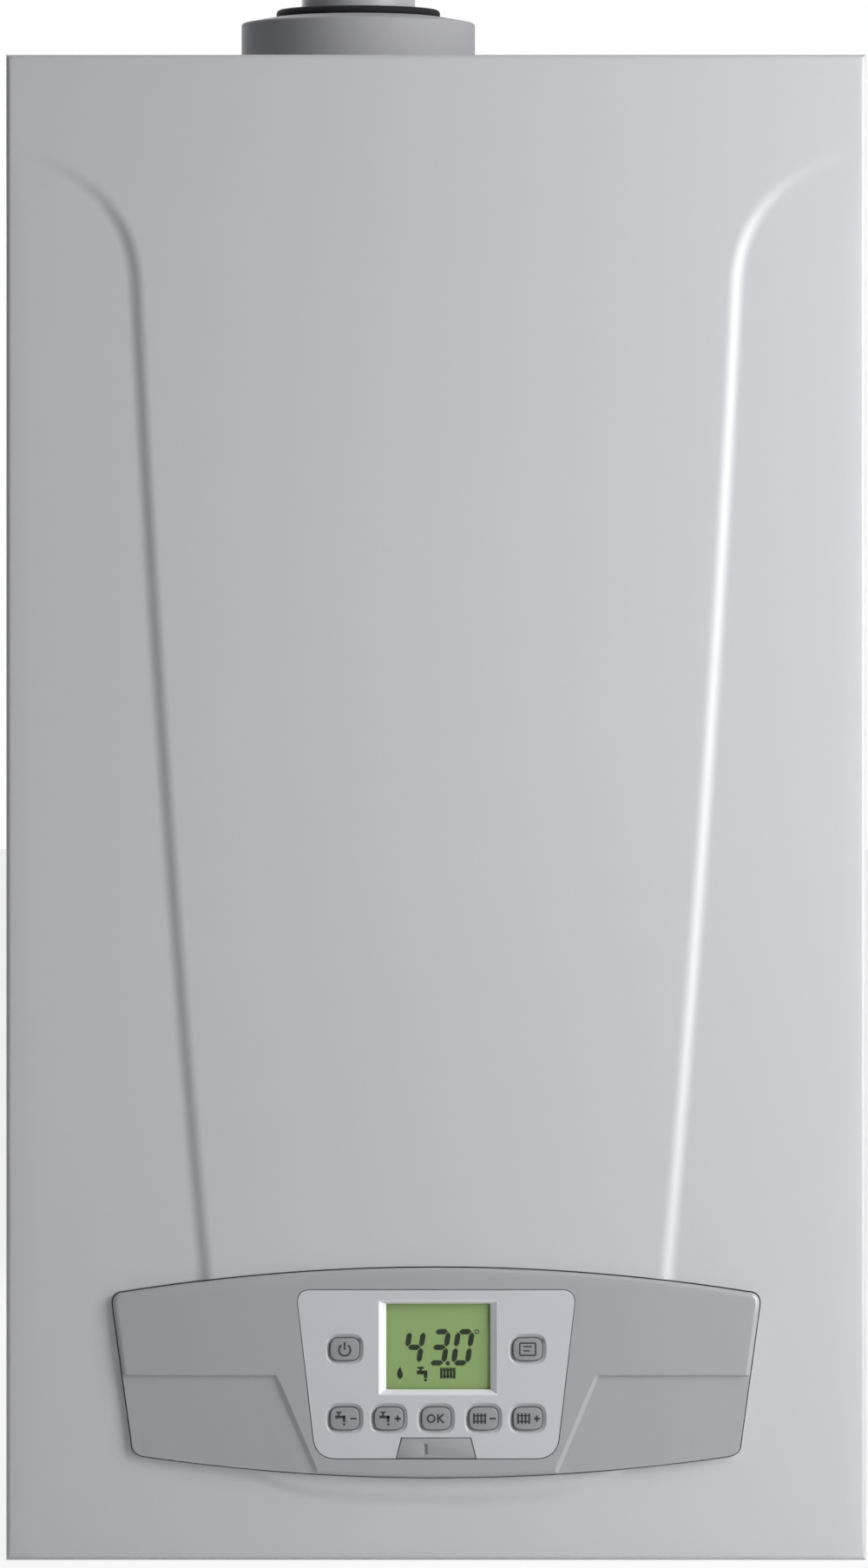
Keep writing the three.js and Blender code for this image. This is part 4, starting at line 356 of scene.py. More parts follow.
vessel_finish = surface("vessel_paint", grain, (0.42, 0.045, 0.030), (0.34, 0.034, 0.022), (0.38, 0.5),
                        0.03, {"Coat Weight": 0.1}, scales=(14.0, 900.0))
casting = surface("cast_aluminium", grain, (0.50, 0.50, 0.51), (0.36, 0.36, 0.37), (0.42, 0.62), 0.10,
                  {"Metallic": 0.85}, scales=(45.0, 1100.0))
stainless = surface("stainless_steel", brushed, (0.62, 0.62, 0.63), (0.47, 0.47, 0.48), (0.24, 0.42), 0.01,
                    {"Metallic": 1.0}, stretch=(60.0, 60.0, 1400.0))
brass = surface("brass", brushed, (0.62, 0.44, 0.16), (0.47, 0.32, 0.11), (0.26, 0.44), 0.02,
                {"Metallic": 1.0}, stretch=(180.0, 180.0, 900.0))
copper = surface("copper", grain, (0.66, 0.30, 0.17), (0.42, 0.17, 0.09), (0.25, 0.45), 0.01,
                 {"Metallic": 1.0}, scales=(24.0, 700.0))
board_finish = surface("circuit_board", grain, (0.03, 0.16, 0.055), (0.018, 0.09, 0.032), (0.3, 0.45), 0.03,
                       scales=(160.0, 700.0))
ink = surface("key_ink", grain, (0.035, 0.035, 0.04), (0.022, 0.022, 0.026), (0.5, 0.6),
              scales=(90.0, 2500.0))
screw_steel = surface("screw_steel", brushed, (0.58, 0.58, 0.58), (0.42, 0.42, 0.42), (0.28, 0.42), 0.0,
                      {"Metallic": 1.0}, stretch=(500.0, 500.0, 500.0))
print("finishes:", len(bpy.data.materials))

# %% [markdown]
# ## The parts that stay as the CAD has them
#
# The zinc-coated frame, the rubber seals and the circuit boards have sharp edges on the real boiler
# too, so they are right as they are and only need their finish. Each CAD object keeps its mesh, and the
# material goes into its slot.

# %% Finishes of the carried parts
STAYS = {
    zinc: ["rear_frame", "bottom_panel"],
    rubber: ["cover_seal", "adapter_gasket"],
    board_finish: ["display_board", "main_board"],
}
for material, names in STAYS.items():
    for name in names:
        for slot in nodes[name].material_slots:
            slot.material = material

# %% [markdown]
# ## The outlines of the front
#
# The front cover's raised field, the fascia and the keypad are drawn with short curves, just as in
# the CAD. A quadratic or cubic curve is cut into enough points to look smooth close up.

# %% Curves
def quadratic(start, middle, end, count):
    points = []
    for i in range(count):
        t = i / count
        points.append(tuple((1 - t) ** 2 * a + 2 * t * (1 - t) * b + t ** 2 * c
                            for a, b, c in zip(start, middle, end)))
    return points


def cubic(start, first, second, end, count):
    points = []
    for i in range(count):
        t = i / count
        points.append(tuple((1 - t) ** 3 * a + 3 * t * (1 - t) ** 2 * b + 3 * t ** 2 * (1 - t) * c
                            + t ** 3 * d for a, b, c, d in zip(start, first, second, end)))
    return points


def straight(start, end, count):
    return [tuple(a + (b - a) * i / count for a, b in zip(start, end)) for i in range(count)]


def rounded_rectangle(x0, x1, z0, z1, corner, count=6):
    c = corner
    points = []
    for start, peak, end in (((x1 - c, z0), (x1, z0), (x1, z0 + c)), ((x1, z1 - c), (x1, z1), (x1 - c, z1)),
                             ((x0 + c, z1), (x0, z1), (x0, z1 - c)), ((x0, z0 + c), (x0, z0), (x0 + c, z0))):
        points += quadratic(start, peak, end, count) + [end]
    return points


# %% The fascia's outline, in eight runs that start at the lower left
ARC_POINTS, CORNER_POINTS, SIDE_POINTS = 60, 8, 8
FASCIA_HALF, FASCIA_TOP, FASCIA_BOTTOM, FASCIA_CORNER = 150, 135.7, 39.2, 5
SHOULDER_DROP, HEEL_RISE, SIDE_TAPER = 11.5, 9.7, 9


def mirror(point):
    return -point[0], point[1]


def fascia_outline(grow):
    half_top = FASCIA_HALF + grow
    half_bottom = half_top - SIDE_TAPER
    top, bottom = FASCIA_TOP + grow, FASCIA_BOTTOM - grow
    shoulder, heel = top - SHOULDER_DROP, bottom + HEEL_RISE
    c = max(FASCIA_CORNER + grow, 1)
    foot, side_low = (half_bottom - c, heel), (half_bottom, heel + c)
    side_high, head = (half_top, shoulder - c), (half_top - c, shoulder)
    side_low_peak, side_high_peak = (half_bottom, heel + c / 5), (half_top, shoulder)
    return (quadratic(mirror(foot), (0, 2 * bottom - heel), foot, ARC_POINTS)
            + quadratic(foot, side_low_peak, side_low, CORNER_POINTS)
            + straight(side_low, side_high, SIDE_POINTS)
            + quadratic(side_high, side_high_peak, head, CORNER_POINTS)
            + quadratic(head, (0, 2 * top - shoulder), mirror(head), ARC_POINTS)
            + quadratic(mirror(head), mirror(side_high_peak), mirror(side_high), CORNER_POINTS)
            + straight(mirror(side_high), mirror(side_low), SIDE_POINTS)
            + quadratic(mirror(side_low), mirror(side_low_peak), mirror(foot), CORNER_POINTS))


# %% The keypad's outline, the right half and its mirror image
KEYPAD_BOTTOM, KEYPAD_HEIGHT, KEYPAD_HALF = 47.6, 78.3, 65
KEYPAD_UPPER_CORNER, KEYPAD_LOWER_CORNER = 7, 10


def keypad_outline(grow):
    top, bottom = KEYPAD_BOTTOM + KEYPAD_HEIGHT + grow, KEYPAD_BOTTOM - grow
    half_top = KEYPAD_HALF + grow
    half_bottom = half_top - SIDE_TAPER
    upper, lower, slant = KEYPAD_UPPER_CORNER + grow, KEYPAD_LOWER_CORNER + grow, SIDE_TAPER / KEYPAD_HEIGHT
    right = (quadratic((half_bottom - lower, bottom), (half_bottom, bottom),
                       (half_bottom + lower * slant, bottom + lower), 10)
             + quadratic((half_top - upper * slant, top - upper), (half_top, top),
                         (half_top - upper, top), 10)
             + [(half_top - upper, top)])
    return right + [mirror(point) for point in reversed(right)]


# %% [markdown]
# ## The pressed front cover
#
# The real cover is one sheet, pressed so that a shield-shaped field stands about 2 mm proud, with two
# soft creases that fade out near the top corners and a round foot under the control panel. A raised
# field could be cut and bevelled, but a bevel can't fade. So the cover starts as a grid whose lines are
# led along the creases: then one height rule raises the field, and the crease is a smooth slope between
# lines that run with it. The rim is extruded round the edge in small steps, and the sheet gets its
# thickness from a Solidify modifier.

# %% Where the creases run
RAISE, SLOPE, SLOPE_SOFT = 2.1, 8.8, 0.5
FADE_LOW, FADE_HIGH = 612, 668
SHOULDER, SIDE, FOOT, FOOT_LOW, CREASE_END = (139.6, 592), (127.3, 336), (102.5, 80), 28.6, (184, 652)
crease = (cubic((0, FOOT_LOW), (69.7, FOOT_LOW), (99.4, 33.7), FOOT, 40)
          + quadratic(FOOT, SIDE, SHOULDER, 40)
          + cubic(SHOULDER, (141.0, 628), (163.4, 643), CREASE_END, 30)
          + [CREASE_END, (230, 666)])


def interpolate(table, value, key, result):
    """The crease's other coordinate at one value of the first."""
    if value <= table[0][key]:
        return table[0][result]
    for a, b in zip(table, table[1:]):
        if value <= b[key]:
            t = (value - a[key]) / (b[key] - a[key])
            return a[result] + t * (b[result] - a[result])
    return table[-1][result]


def smooth_step(t):
    t = min(max(t, 0), 1)
    return t * t * (3 - 2 * t)


def soft_ramp(t):
    """A straight slope whose two ends are rounded."""
    t = min(max(t, 0), 1)
    if t < SLOPE_SOFT:
        rise = t * t / (2 * SLOPE_SOFT)
    elif t > 1 - SLOPE_SOFT:
        rise = 1 - SLOPE_SOFT - (1 - t) ** 2 / (2 * SLOPE_SOFT)
    else:
        rise = t - SLOPE_SOFT / 2
    return rise / (1 - SLOPE_SOFT)


def distance_to_crease(x, z):
    best = 1e9
    for (ax, az), (bx, bz) in zip(crease, crease[1:]):
        ux, uz = bx - ax, bz - az
        t = min(max(((x - ax) * ux + (z - az) * uz) / (ux * ux + uz * uz), 0), 1)
        best = min(best, math.hypot(x - ax - t * ux, z - az - t * uz))
    inside = z > crease[0][1] and abs(x) < interpolate(crease, z, 1, 0)
    return best if inside else -best


def field_height(x, z):
    side = RAISE * smooth_step((z - FADE_LOW) / (FADE_HIGH - FADE_LOW))
    rise = soft_ramp(distance_to_crease(abs(x), z) / SLOPE + 0.5)
    return side + (RAISE - side) * rise


# %% The grid's lines, led along the creases
EDGE_ROUND = 2.4
FLAT_HALF = HALF_WIDTH - EDGE_ROUND
inner_steps = [i / 12 for i in range(12)]
crease_steps = [i / 14 for i in range(14)]
outer_steps = [i / 7 for i in range(8)]
PANEL_TOP = 139
BAND = 4.8
low_rows = [EDGE_ROUND, 9, 16, 22]
foot_rows = [FOOT_LOW - BAND + 2 * BAND * i / 14 for i in range(15)]
panel_rows = [38, 50, 70, 95, 120]
high_rows = ([PANEL_TOP + (588 - PANEL_TOP) * i / 36 for i in range(36)] + [588 + 4 * i for i in range(21)]
             + [676, 686, HEIGHT - EDGE_ROUND])
rows = low_rows + foot_rows + panel_rows + high_rows


def column_places(z):
    """Distances from the middle at one height, dense round the crease."""
    z = max(z, PANEL_TOP)
    middle = min(interpolate(crease, z, 1, 0), CREASE_END[0])
    lean = abs(interpolate(crease, z + 1, 1, 0) - interpolate(crease, z - 1, 1, 0)) / 2
    reach = min(BAND * math.hypot(1, lean), FLAT_HALF - 2 - middle, 2.5 * BAND)
    return ([(middle - reach) * t for t in inner_steps]
            + [middle - reach + 2 * reach * t for t in crease_steps]
            + [middle + reach + (FLAT_HALF - middle - reach) * t for t in outer_steps])


def row_place(z, x):
    """The low rows follow the field's round foot."""
    lift = interpolate(crease, min(abs(x), 97), 0, 1) - FOOT_LOW
    if z < foot_rows[0]:
        return z + lift * (z - EDGE_ROUND) / (foot_rows[0] - EDGE_ROUND)
    if z <= foot_rows[-1]:
        return z + lift
    return z + lift * max(0, (PANEL_TOP - z) / (PANEL_TOP - foot_rows[-1]))


half_columns = len(column_places(300))
cover, by_place = sorted_grid(2 * half_columns - 2, len(rows) - 1)
per_row = 2 * half_columns - 1
for r, z_row in enumerate(rows):
    reach = column_places(z_row)
    across = [-x for x in reversed(reach[1:])] + reach
    for x, vertex in zip(across, by_place[r * per_row:(r + 1) * per_row]):
        z = row_place(z_row, x)
        vertex.co = place(x, COVER_FACE - field_height(x, z), z)
print("cover grid:", per_row, "by", len(rows))

# %% The rim of the cover, its side walls and the hem behind
def extrude_rim(form, edges, move):
    pushed = bmesh.ops.extrude_edge_only(form, edges=edges)["geom"]
    for vertex in [g for g in pushed if isinstance(g, bmesh.types.BMVert)]:
        vertex.co = move(vertex.co)
    return [g for g in pushed if isinstance(g, bmesh.types.BMEdge)]


def step_out(outward, backward):
    def move(co):
        x, z = co.x / MM, co.z / MM + HANG
        dx = outward * ((x > FLAT_HALF - 0.01) - (x < 0.01 - FLAT_HALF))
        dz = outward * ((z > HEIGHT - EDGE_ROUND - 0.01) - (z < EDGE_ROUND + 0.01))
        return co + Vector((dx, backward, dz)) * MM
    return move


def set_depth(depth):
    return lambda co: Vector((co.x, depth * MM, co.z))


ARC_STEPS = 5
rim = [edge for edge in cover.edges if edge.is_boundary]
for i in range(ARC_STEPS):
    a, b = math.pi / 2 * i / ARC_STEPS, math.pi / 2 * (i + 1) / ARC_STEPS
    rim = extrude_rim(cover, rim, step_out(EDGE_ROUND * (math.sin(b) - math.sin(a)),
                                           EDGE_ROUND * (math.cos(a) - math.cos(b))))
rim = extrude_rim(cover, rim, set_depth(COVER_BACK))
extrude_rim(cover, rim, step_out(-11, 0))
face_forward(cover)
cover_shell = object_of("cover_shell", cover)
thicken(cover_shell, 1.0)
carve(cover_shell, object_of("panel_opening", plate(fascia_outline(1.0), -310, -274)))
dress(cover_shell, paint, "front_cover", "painted", "front_cover", angle=32)
print("cover faces:", len(cover_shell.data.polygons))

# %% [markdown]
# ## The fascia of the control panel
#
# A moulded shell with a slightly crowned front. A patch that is stretched between its four edges gives
# the front, and the rim is extruded round the edge as on the cover. The two lower wings lie 1.5 mm
# deeper, and the keypad sits in an opening, so both are cut out, and all new edges are rounded a little,
# because a moulded part has no sharp edge.

# %% The fascia
FASCIA_ROUND = 2.4
FASCIA_GROW = 0.5
WING_SLOPE, WING_DEPTH, WING_END = 2.2, 1.5, 165
WING_LOW, WING_HIGH = (47.7, 19.7), (76.0, 86.3)
CUT_FRONT = -312


def crown(x):
    return 3 * (x / FASCIA_HALF) ** 2


def border_runs(loop):
    """The closed outline as four runs between the middles of its corners."""
    half = CORNER_POINTS // 2
    start = len(loop) - half
    turned_loop = loop[start:] + loop[:start]
    counts = [ARC_POINTS + 2 * half, SIDE_POINTS + 2 * half] * 2
    runs, at = [], 0
    for count in counts:
        runs.append([turned_loop[(at + i) % len(loop)] for i in range(count + 1)])
        at += count
    return runs[0], runs[1], runs[2][::-1], runs[3][::-1]


bottom_run, right_run, top_run, left_run = border_runs(fascia_outline(FASCIA_GROW - FASCIA_ROUND))
across_count, up_count = len(bottom_run) - 1, len(right_run) - 1


def patch(i, j):
    """A point of the front, stretched between the four runs."""
    u, v = i / across_count, j / up_count
    point = []
    for k in (0, 1):
        sides = ((1 - v) * bottom_run[i][k] + v * top_run[i][k]
                 + (1 - u) * left_run[j][k] + u * right_run[j][k])
        corners = ((1 - u) * (1 - v) * bottom_run[0][k] + u * (1 - v) * bottom_run[-1][k]
                   + (1 - u) * v * top_run[0][k] + u * v * top_run[-1][k])
        point.append(sides - corners)
    return point


form, by_place = sorted_grid(across_count, up_count)
for n, vertex in enumerate(by_place):
    x, z = patch(n % (across_count + 1), n // (across_count + 1))
    vertex.co = place(x, FASCIA_FRONT + crown(x), z)
loops = [fascia_outline(FASCIA_GROW - FASCIA_ROUND + FASCIA_ROUND * math.sin(math.pi / 2 * i / ARC_STEPS))
         for i in range(ARC_STEPS + 1)]


def nearest_on(loop, x, z):
    return min(range(len(loop)), key=lambda i: (loop[i][0] - x) ** 2 + (loop[i][1] - z) ** 2)


rim = [edge for edge in form.edges if edge.is_boundary]
for k in range(1, ARC_STEPS + 1):
    back = FASCIA_ROUND * (1 - math.cos(math.pi / 2 * k / ARC_STEPS))

    def follow(co):
        at = nearest_on(loops[k - 1], co.x / MM, co.z / MM + HANG)
        x, z = loops[k][at]
        return place(x, FASCIA_FRONT + crown(x) + back, z)
    rim = extrude_rim(form, rim, follow)
extrude_rim(form, rim, set_depth(FASCIA_BACK))
face_forward(form)
fascia_shell = object_of("fascia_shell", form)
thicken(fascia_shell, 2.4)


# %% The two wings and the keypad's opening
def wing(side):
    """A block in front of one wing, whose back follows the crown a little deeper."""
    form, by_place = sorted_grid(16, 1)
    for vertex in by_place:
        inner, z = WING_LOW if vertex.co.y < 0 else WING_HIGH
        x = inner + (WING_END - inner) * (vertex.co.x + 1) / 2
        vertex.co = place(side * x, FASCIA_FRONT + crown(x) + WING_DEPTH, z)
    reach = WING_SLOPE * (FASCIA_FRONT + WING_DEPTH - CUT_FRONT) / WING_DEPTH
    for vertex in push_out(form, list(form.faces)):
        outward = (WING_END - abs(vertex.co.x) / MM) / 100
        vertex.co += Vector((-side * reach * min(outward, 1), 0, 0)) * MM
        vertex.co.y = CUT_FRONT * MM
    bmesh.ops.recalc_face_normals(form, faces=form.faces)
    return object_of("wing_cut", form)


carve(fascia_shell, wing(-1), wing(1), object_of("keypad_cut", plate(keypad_outline(0.35), CUT_FRONT, -280)))
round_edges(fascia_shell, 0.45, 2, 50)
dress(fascia_shell, fascia_finish, "control_box", "fascia", "fascia", angle=18)
print("fascia faces:", len(fascia_shell.data.polygons))

# %% [markdown]
# ## The keypad plate
#
# A flat plate that fills the fascia's opening, with seven key holes, the display's window and the notch
# of the little port cover. The window's sides slope in towards the display, more at the left and right
# than above and below, and light from the right makes the left slope shine. The sloping frame is also
# painted lighter than the plate, a painted highlight that brightens that slope further.

# %% The keypad plate
BUTTONS = {"button_left": (-42.5, 98.4), "button_right": (42.5, 98.4)}
BUTTONS.update({f"button_lower_{i + 1}": (x, 66.2) for i, x in enumerate((-42.5, -22, 0, 22, 42.5))})
KEY_HALF_WIDTH, KEY_HALF_HEIGHT, KEY_CORNER = 6.7, 5.2, 3.9


def key_outline(x, z, grow):
    return rounded_rectangle(x - KEY_HALF_WIDTH - grow, x + KEY_HALF_WIDTH + grow,
                             z - KEY_HALF_HEIGHT - grow, z + KEY_HALF_HEIGHT + grow, KEY_CORNER + grow)


TAB_FOOT_HALF, TAB_HEAD_HALF, TAB_TOP = 18.6, 16, 57.1


def tab_outline(grow):
    foot = (TAB_FOOT_HALF + grow, KEYPAD_BOTTOM - grow)
    head = (TAB_HEAD_HALF + grow, TAB_TOP + grow)
    return [mirror(foot), foot, head, mirror(head)]


def corners_of(box):
    x0, x1, z0, z1 = box
    return [(x0, z0), (x1, z0), (x1, z1), (x0, z1)]


def taper(front, back, y_front, y_back):
    """A form that leads from one outline to another of as many points."""
    form = bmesh.new()
    rings = [[form.verts.new(place(x, y, z)) for x, z in loop]
             for loop, y in ((front, y_front), (back, y_back))]
    edges = [form.edges.new(pair) for ring in rings for pair in zip(ring, ring[1:] + ring[:1])]
    bmesh.ops.bridge_loops(form, edges=edges)
    bmesh.ops.holes_fill(form, edges=form.edges, sides=0)
    bmesh.ops.recalc_face_normals(form, faces=form.faces)
    return form


WINDOW_FRONT = (-26.6, 28.4, 77.4, 120.6)
WINDOW_BACK = (-23.2, 25.2, 79.6, 119.4)
keypad_skin = object_of("keypad_skin", plate(keypad_outline(0), KEYPAD_FRONT, KEYPAD_BACK))
cutters = [object_of("key_cut", plate(key_outline(x, z, 0.35), -305, -290)) for x, z in BUTTONS.values()]
cutters += [object_of("dish_cut", taper(key_outline(x, z, 2.4), key_outline(x, z, 0.3), KEYPAD_FRONT - 0.2,
                                        KEYPAD_FRONT + 1.2)) for x, z in BUTTONS.values()]
cutters.append(object_of("tab_cut", plate(tab_outline(0.3), -305, -290)))
over = [edge + way * 0.3 for edge, way in zip(WINDOW_FRONT, (-1, 1, -1, 1))]
cutters.append(object_of("window_cut", plate(corners_of(over), -305, -290)))
carve(keypad_skin, *cutters)
round_edges(keypad_skin, 0.5, 3, 50)
dress(keypad_skin, keypad_finish, "control_box", "keypad", "keypad_plate", angle=32)

# %% The window's sloping frame
bezel = object_of("window_bezel", plate(corners_of(over), KEYPAD_FRONT + 0.05, KEYPAD_BACK))
carve(bezel, object_of("slope_cut", taper(corners_of(WINDOW_FRONT), corners_of(WINDOW_BACK), KEYPAD_FRONT,
                                          KEYPAD_BACK + 0.01)),
      object_of("front_cut", plate(corners_of(WINDOW_FRONT), -300, KEYPAD_FRONT + 0.06)))
# The frame is a lighter copy of the keypad plastic: a painted highlight, so that the slope which catches the
# lamp shows near white.
bezel_highlight_finish = surface("bezel_painted_highlight", grain, (0.74, 0.75, 0.76), (0.69, 0.70, 0.71), (0.2, 0.3), 0.0,
                       scales=(30.0, 2000.0))
dress(bezel, bezel_highlight_finish, "control_box", "keypad", angle=20)

# %% [markdown]
# ## The display
#
# Behind the window lie a clear pane and the display itself. A liquid crystal display is a greenish
# plate on which dark segments stand a hair in front of their ground. Each figure is made of the usual
# seven bars with pointed ends, leaning a little to the right, and three small signs under them say
# what the boiler is heating.

# %% Flat ink forms
INK_RISE = 0.06


def ink_plate(outline, front):
    return plate(outline, front - INK_RISE, front + INK_RISE)


def joined(name, *forms):
    """Several forms as one object."""
    whole = bmesh.new()
    for form in forms:
        mesh = bpy.data.meshes.new("part")
        form.to_mesh(mesh)
        form.free()
        whole.from_mesh(mesh)
        bpy.data.meshes.remove(mesh)
    return object_of(name, whole)


def bar(x0, z0, x1, z1, width, front):
    """A straight stroke with square ends."""
    dx, dz = x1 - x0, z1 - z0
    length = math.hypot(dx, dz)
    px, pz = -dz / length * width / 2, dx / length * width / 2
    return ink_plate([(x0 - px, z0 - pz), (x1 - px, z1 - pz), (x1 + px, z1 + pz), (x0 + px, z0 + pz)], front)


def circle_band(x, z, radius, width, front, start=0.0, sweep=360.0, steps=28):
    """A ring, or a part of one, drawn with a stroke of the given width."""
    form = bmesh.new()
    angle = math.radians(start)
    inner, outer = radius - width / 2, radius + width / 2
    ends = [place(x + r * math.cos(angle), y, z + r * math.sin(angle))
            for r, y in ((inner, front - INK_RISE), (outer, front - INK_RISE),
                         (outer, front + INK_RISE), (inner, front + INK_RISE))]
    closed = sweep >= 360
    face = ring_face(form, ends)
    if closed:
        bmesh.ops.delete(form, geom=[face], context="FACES_ONLY")
    start_geom = list(form.verts) + list(form.edges) + list(form.faces)
    bmesh.ops.spin(form, geom=start_geom, cent=place(x, front, z), axis=Vector((0, -1, 0)),
                   angle=math.radians(sweep), steps=steps, use_merge=closed, use_duplicate=False)
    bmesh.ops.remove_doubles(form, verts=form.verts, dist=1e-7)
    bmesh.ops.recalc_face_normals(form, faces=form.faces)
    return form


def disc(x, z, radius, front, steps=20):
    angles = [2 * math.pi * i / steps for i in range(steps)]
    return ink_plate([(x + radius * math.cos(a), z + radius * math.sin(a)) for a in angles], front)


# %% Seven-bar figures
SEGMENTS = {"0": "abcdef", "3": "abcdg", "4": "bcfg"}
DIGIT_WIDTH, DIGIT_HEIGHT, DIGIT_STROKE, DIGIT_LEAN = 8.9, 17.0, 2.5, 0.16
LCD_FRONT = -294.62


def lean(points, foot):
    return [(x + (z - foot) * DIGIT_LEAN, z) for x, z in points]


def pointed_bar(a, b):
    """A bar of a figure: pointed at both ends, with a small gap to its neighbours."""
    (ax, az), (bx, bz) = a, b
    length = math.hypot(bx - ax, bz - az)
    ux, uz = (bx - ax) / length, (bz - az) / length
    half, gap = DIGIT_STROKE / 2, 0.25
    corners = [(gap, 0), (gap + half, -half), (length - gap - half, -half), (length - gap, 0),
               (length - gap - half, half), (gap + half, half)]
    return [(ax + ux * t - uz * n, az + uz * t + ux * n) for t, n in corners]


def figure(character, x, z):
    w, h = DIGIT_WIDTH - DIGIT_STROKE, DIGIT_HEIGHT - DIGIT_STROKE
    x0, z0 = x + DIGIT_STROKE / 2, z + DIGIT_STROKE / 2
    knots = {"a": ((0, h), (w, h)), "b": ((w, h / 2), (w, h)), "c": ((w, 0), (w, h / 2)),
             "d": ((0, 0), (w, 0)), "e": ((0, 0), (0, h / 2)), "f": ((0, h / 2), (0, h)),
             "g": ((0, h / 2), (w, h / 2))}
    forms = []
    for name in SEGMENTS[character]:
        a, b = [(x0 + kx, z0 + kz) for kx, kz in knots[name]]
        forms.append(ink_plate(lean(pointed_bar(a, b), z), LCD_FRONT))
    return forms


segments = figure("4", -16.0, 90.6) + figure("3", -4.4, 90.6) + figure("0", 6.6, 90.6)
segments.append(disc(5.4, 91.7, 1.0, LCD_FRONT))
segments.append(circle_band(18.9, 106.3, 0.9, 0.45, LCD_FRONT))
flame = [(-16.8, 84.2), (-15.6, 85.4), (-15.5, 87.0), (-16.2, 88.4), (-16.6, 90.2), (-17.6, 88.8),
         (-18.2, 87.0), (-17.9, 85.3)]
segments.append(ink_plate(flame, LCD_FRONT))
segments += [bar(-9.0, 87.4, -4.2, 87.4, 1.8, LCD_FRONT), bar(-4.9, 88.2, -4.9, 84.8, 1.6, LCD_FRONT),
             bar(-7.2, 87.4, -7.2, 89.6, 1.1, LCD_FRONT), bar(-8.7, 89.6, -5.7, 89.6, 0.9, LCD_FRONT),
             disc(-4.9, 83.9, 0.7, LCD_FRONT)]
segments += [bar(2.4 + i * 1.5, 84.6, 2.4 + i * 1.5, 89.6, 1.15, LCD_FRONT) for i in range(5)]
segments += [bar(1.9, 85.6, 8.9, 85.6, 0.6, LCD_FRONT), bar(1.9, 88.6, 8.9, 88.6, 0.6, LCD_FRONT)]
segment_ink = surface("segment_ink", grain, (0.022, 0.035, 0.018), (0.014, 0.024, 0.011), (0.5, 0.6),
                      sockets={"Specular IOR Level": 0.1}, scales=(80.0, 1500.0))
dress(joined("display_segments", *segments), segment_ink, "control_box", "display")

# %% The display's ground and the clear pane
lcd_green = surface("display_green", grain, (0.345, 0.502, 0.187), (0.319, 0.466, 0.170), (0.5, 0.6),
                    sockets={"Specular IOR Level": 0.1}, scales=(26.0, 1200.0))
ground_plate = plate(rounded_rectangle(-27.5, 27.5, 77.0, 121.5, 1.0), LCD_FRONT, LCD_FRONT + 0.2)
dress(object_of("display_ground", ground_plate), lcd_green, "control_box", "display")
pane_finish = surface("clear_pane", grain, (0.10, 0.12, 0.10), (0.08, 0.10, 0.08), (0.05, 0.09),
                      sockets={"Alpha": 0.08, "IOR": 1.45}, scales=(20.0, 800.0))
pane = object_of("display_pane", plate(rounded_rectangle(-27.9, 27.9, 76.5, 121.9, 1.5), -295.88, -294.75))
round_edges(pane, 0.15, 2, 50)
dress(pane, pane_finish, "control_box", "lens", "display_lens")
module_finish = surface("display_frame", grain, (0.16, 0.165, 0.17), (0.12, 0.125, 0.13), (0.4, 0.5), 0.02,
                        scales=(40.0, 1500.0))
for slot in nodes["display_module"].material_slots:
    slot.material = module_finish
print("display strokes:", len(segments))

# %% [markdown]
# ## The keys
#
# Each key is a cap with a soft edge in its dished hole, with a rim behind the plate that keeps it in,
# and a stem that reaches the switch on the board. The sign on a key is printed, so it is a thin layer
# of ink that rides on the same body and goes in with the key.

# %% Key caps
CAP_FRONT = -299.2


def key_cap(name, x, z):
    cap = plate(key_outline(x, z, 0), CAP_FRONT, -294.6)
    rim = plate(key_outline(x, z, 1), -295.6, -294.6)
    stem = turned([(0.01, 0), (2.5, 0), (2.5, 5.0), (1.9, 5.6), (0.01, 5.6)], (x, -295.0, z), (0, 1, 0), 32)
    piece = joined(name + "_cap", cap, rim, stem)
    round_edges(piece, 0.85, 4, 60)
    dress(piece, button_finish, name, "button", name)


for name, (x, z) in BUTTONS.items():
    key_cap(name, x, z)


# %% Signs on the keys, as strokes (x0, z0, x1, z1, width) from each sign's middle
SIGN_SCALE = 1.22
MINUS = [(-1.2, 0, 1.2, 0, 0.7)]
STROKES = {
    "tap": [(-2.2, 0.6, 1.6, 0.6, 1.1), (1.2, 1.0, 1.2, -1.4, 1.0), (-0.8, 0.6, -0.8, 2.4, 0.7),
            (-1.8, 2.4, 0.2, 2.4, 0.6)],
    "radiator": [(-2.1 + 1.4 * i, -2.0, -2.1 + 1.4 * i, 2.0, 0.75) for i in range(4)]
    + [(-2.5, z, 2.5, z, 0.5) for z in (1.1, -1.1)],
    "minus": MINUS,
    "plus": MINUS + [(0, -1.2, 0, 1.2, 0.7)],
    "power": [(0, -0.2, 0, 2.7, 0.75)],
    "menu": [(-1.6, 1.0, 1.6, 1.0, 0.6), (-1.6, -0.6, 0.8, -0.6, 0.6), (-3.0, -2.3, 3.0, -2.3, 0.6),
             (3.0, -2.3, 3.0, 2.3, 0.6), (3.0, 2.3, -3.0, 2.3, 0.6), (-3.0, 2.3, -3.0, -2.3, 0.6)],
    "ok": [(0.7, -1.7, 0.7, 1.7, 0.7), (0.9, 0, 2.8, 1.7, 0.7), (1.1, 0.2, 2.9, -1.7, 0.7)],
}
SIGNS = {
    "button_left": [("power", 0)], "button_right": [("menu", 0)],
    "button_lower_1": [("tap", -1.4), ("minus", 3.4)], "button_lower_2": [("tap", -1.4), ("plus", 3.4)],
    "button_lower_3": [("ok", 0)],
    "button_lower_4": [("radiator", -1.5), ("minus", 3.5)],
    "button_lower_5": [("radiator", -1.5), ("plus", 3.5)],
}


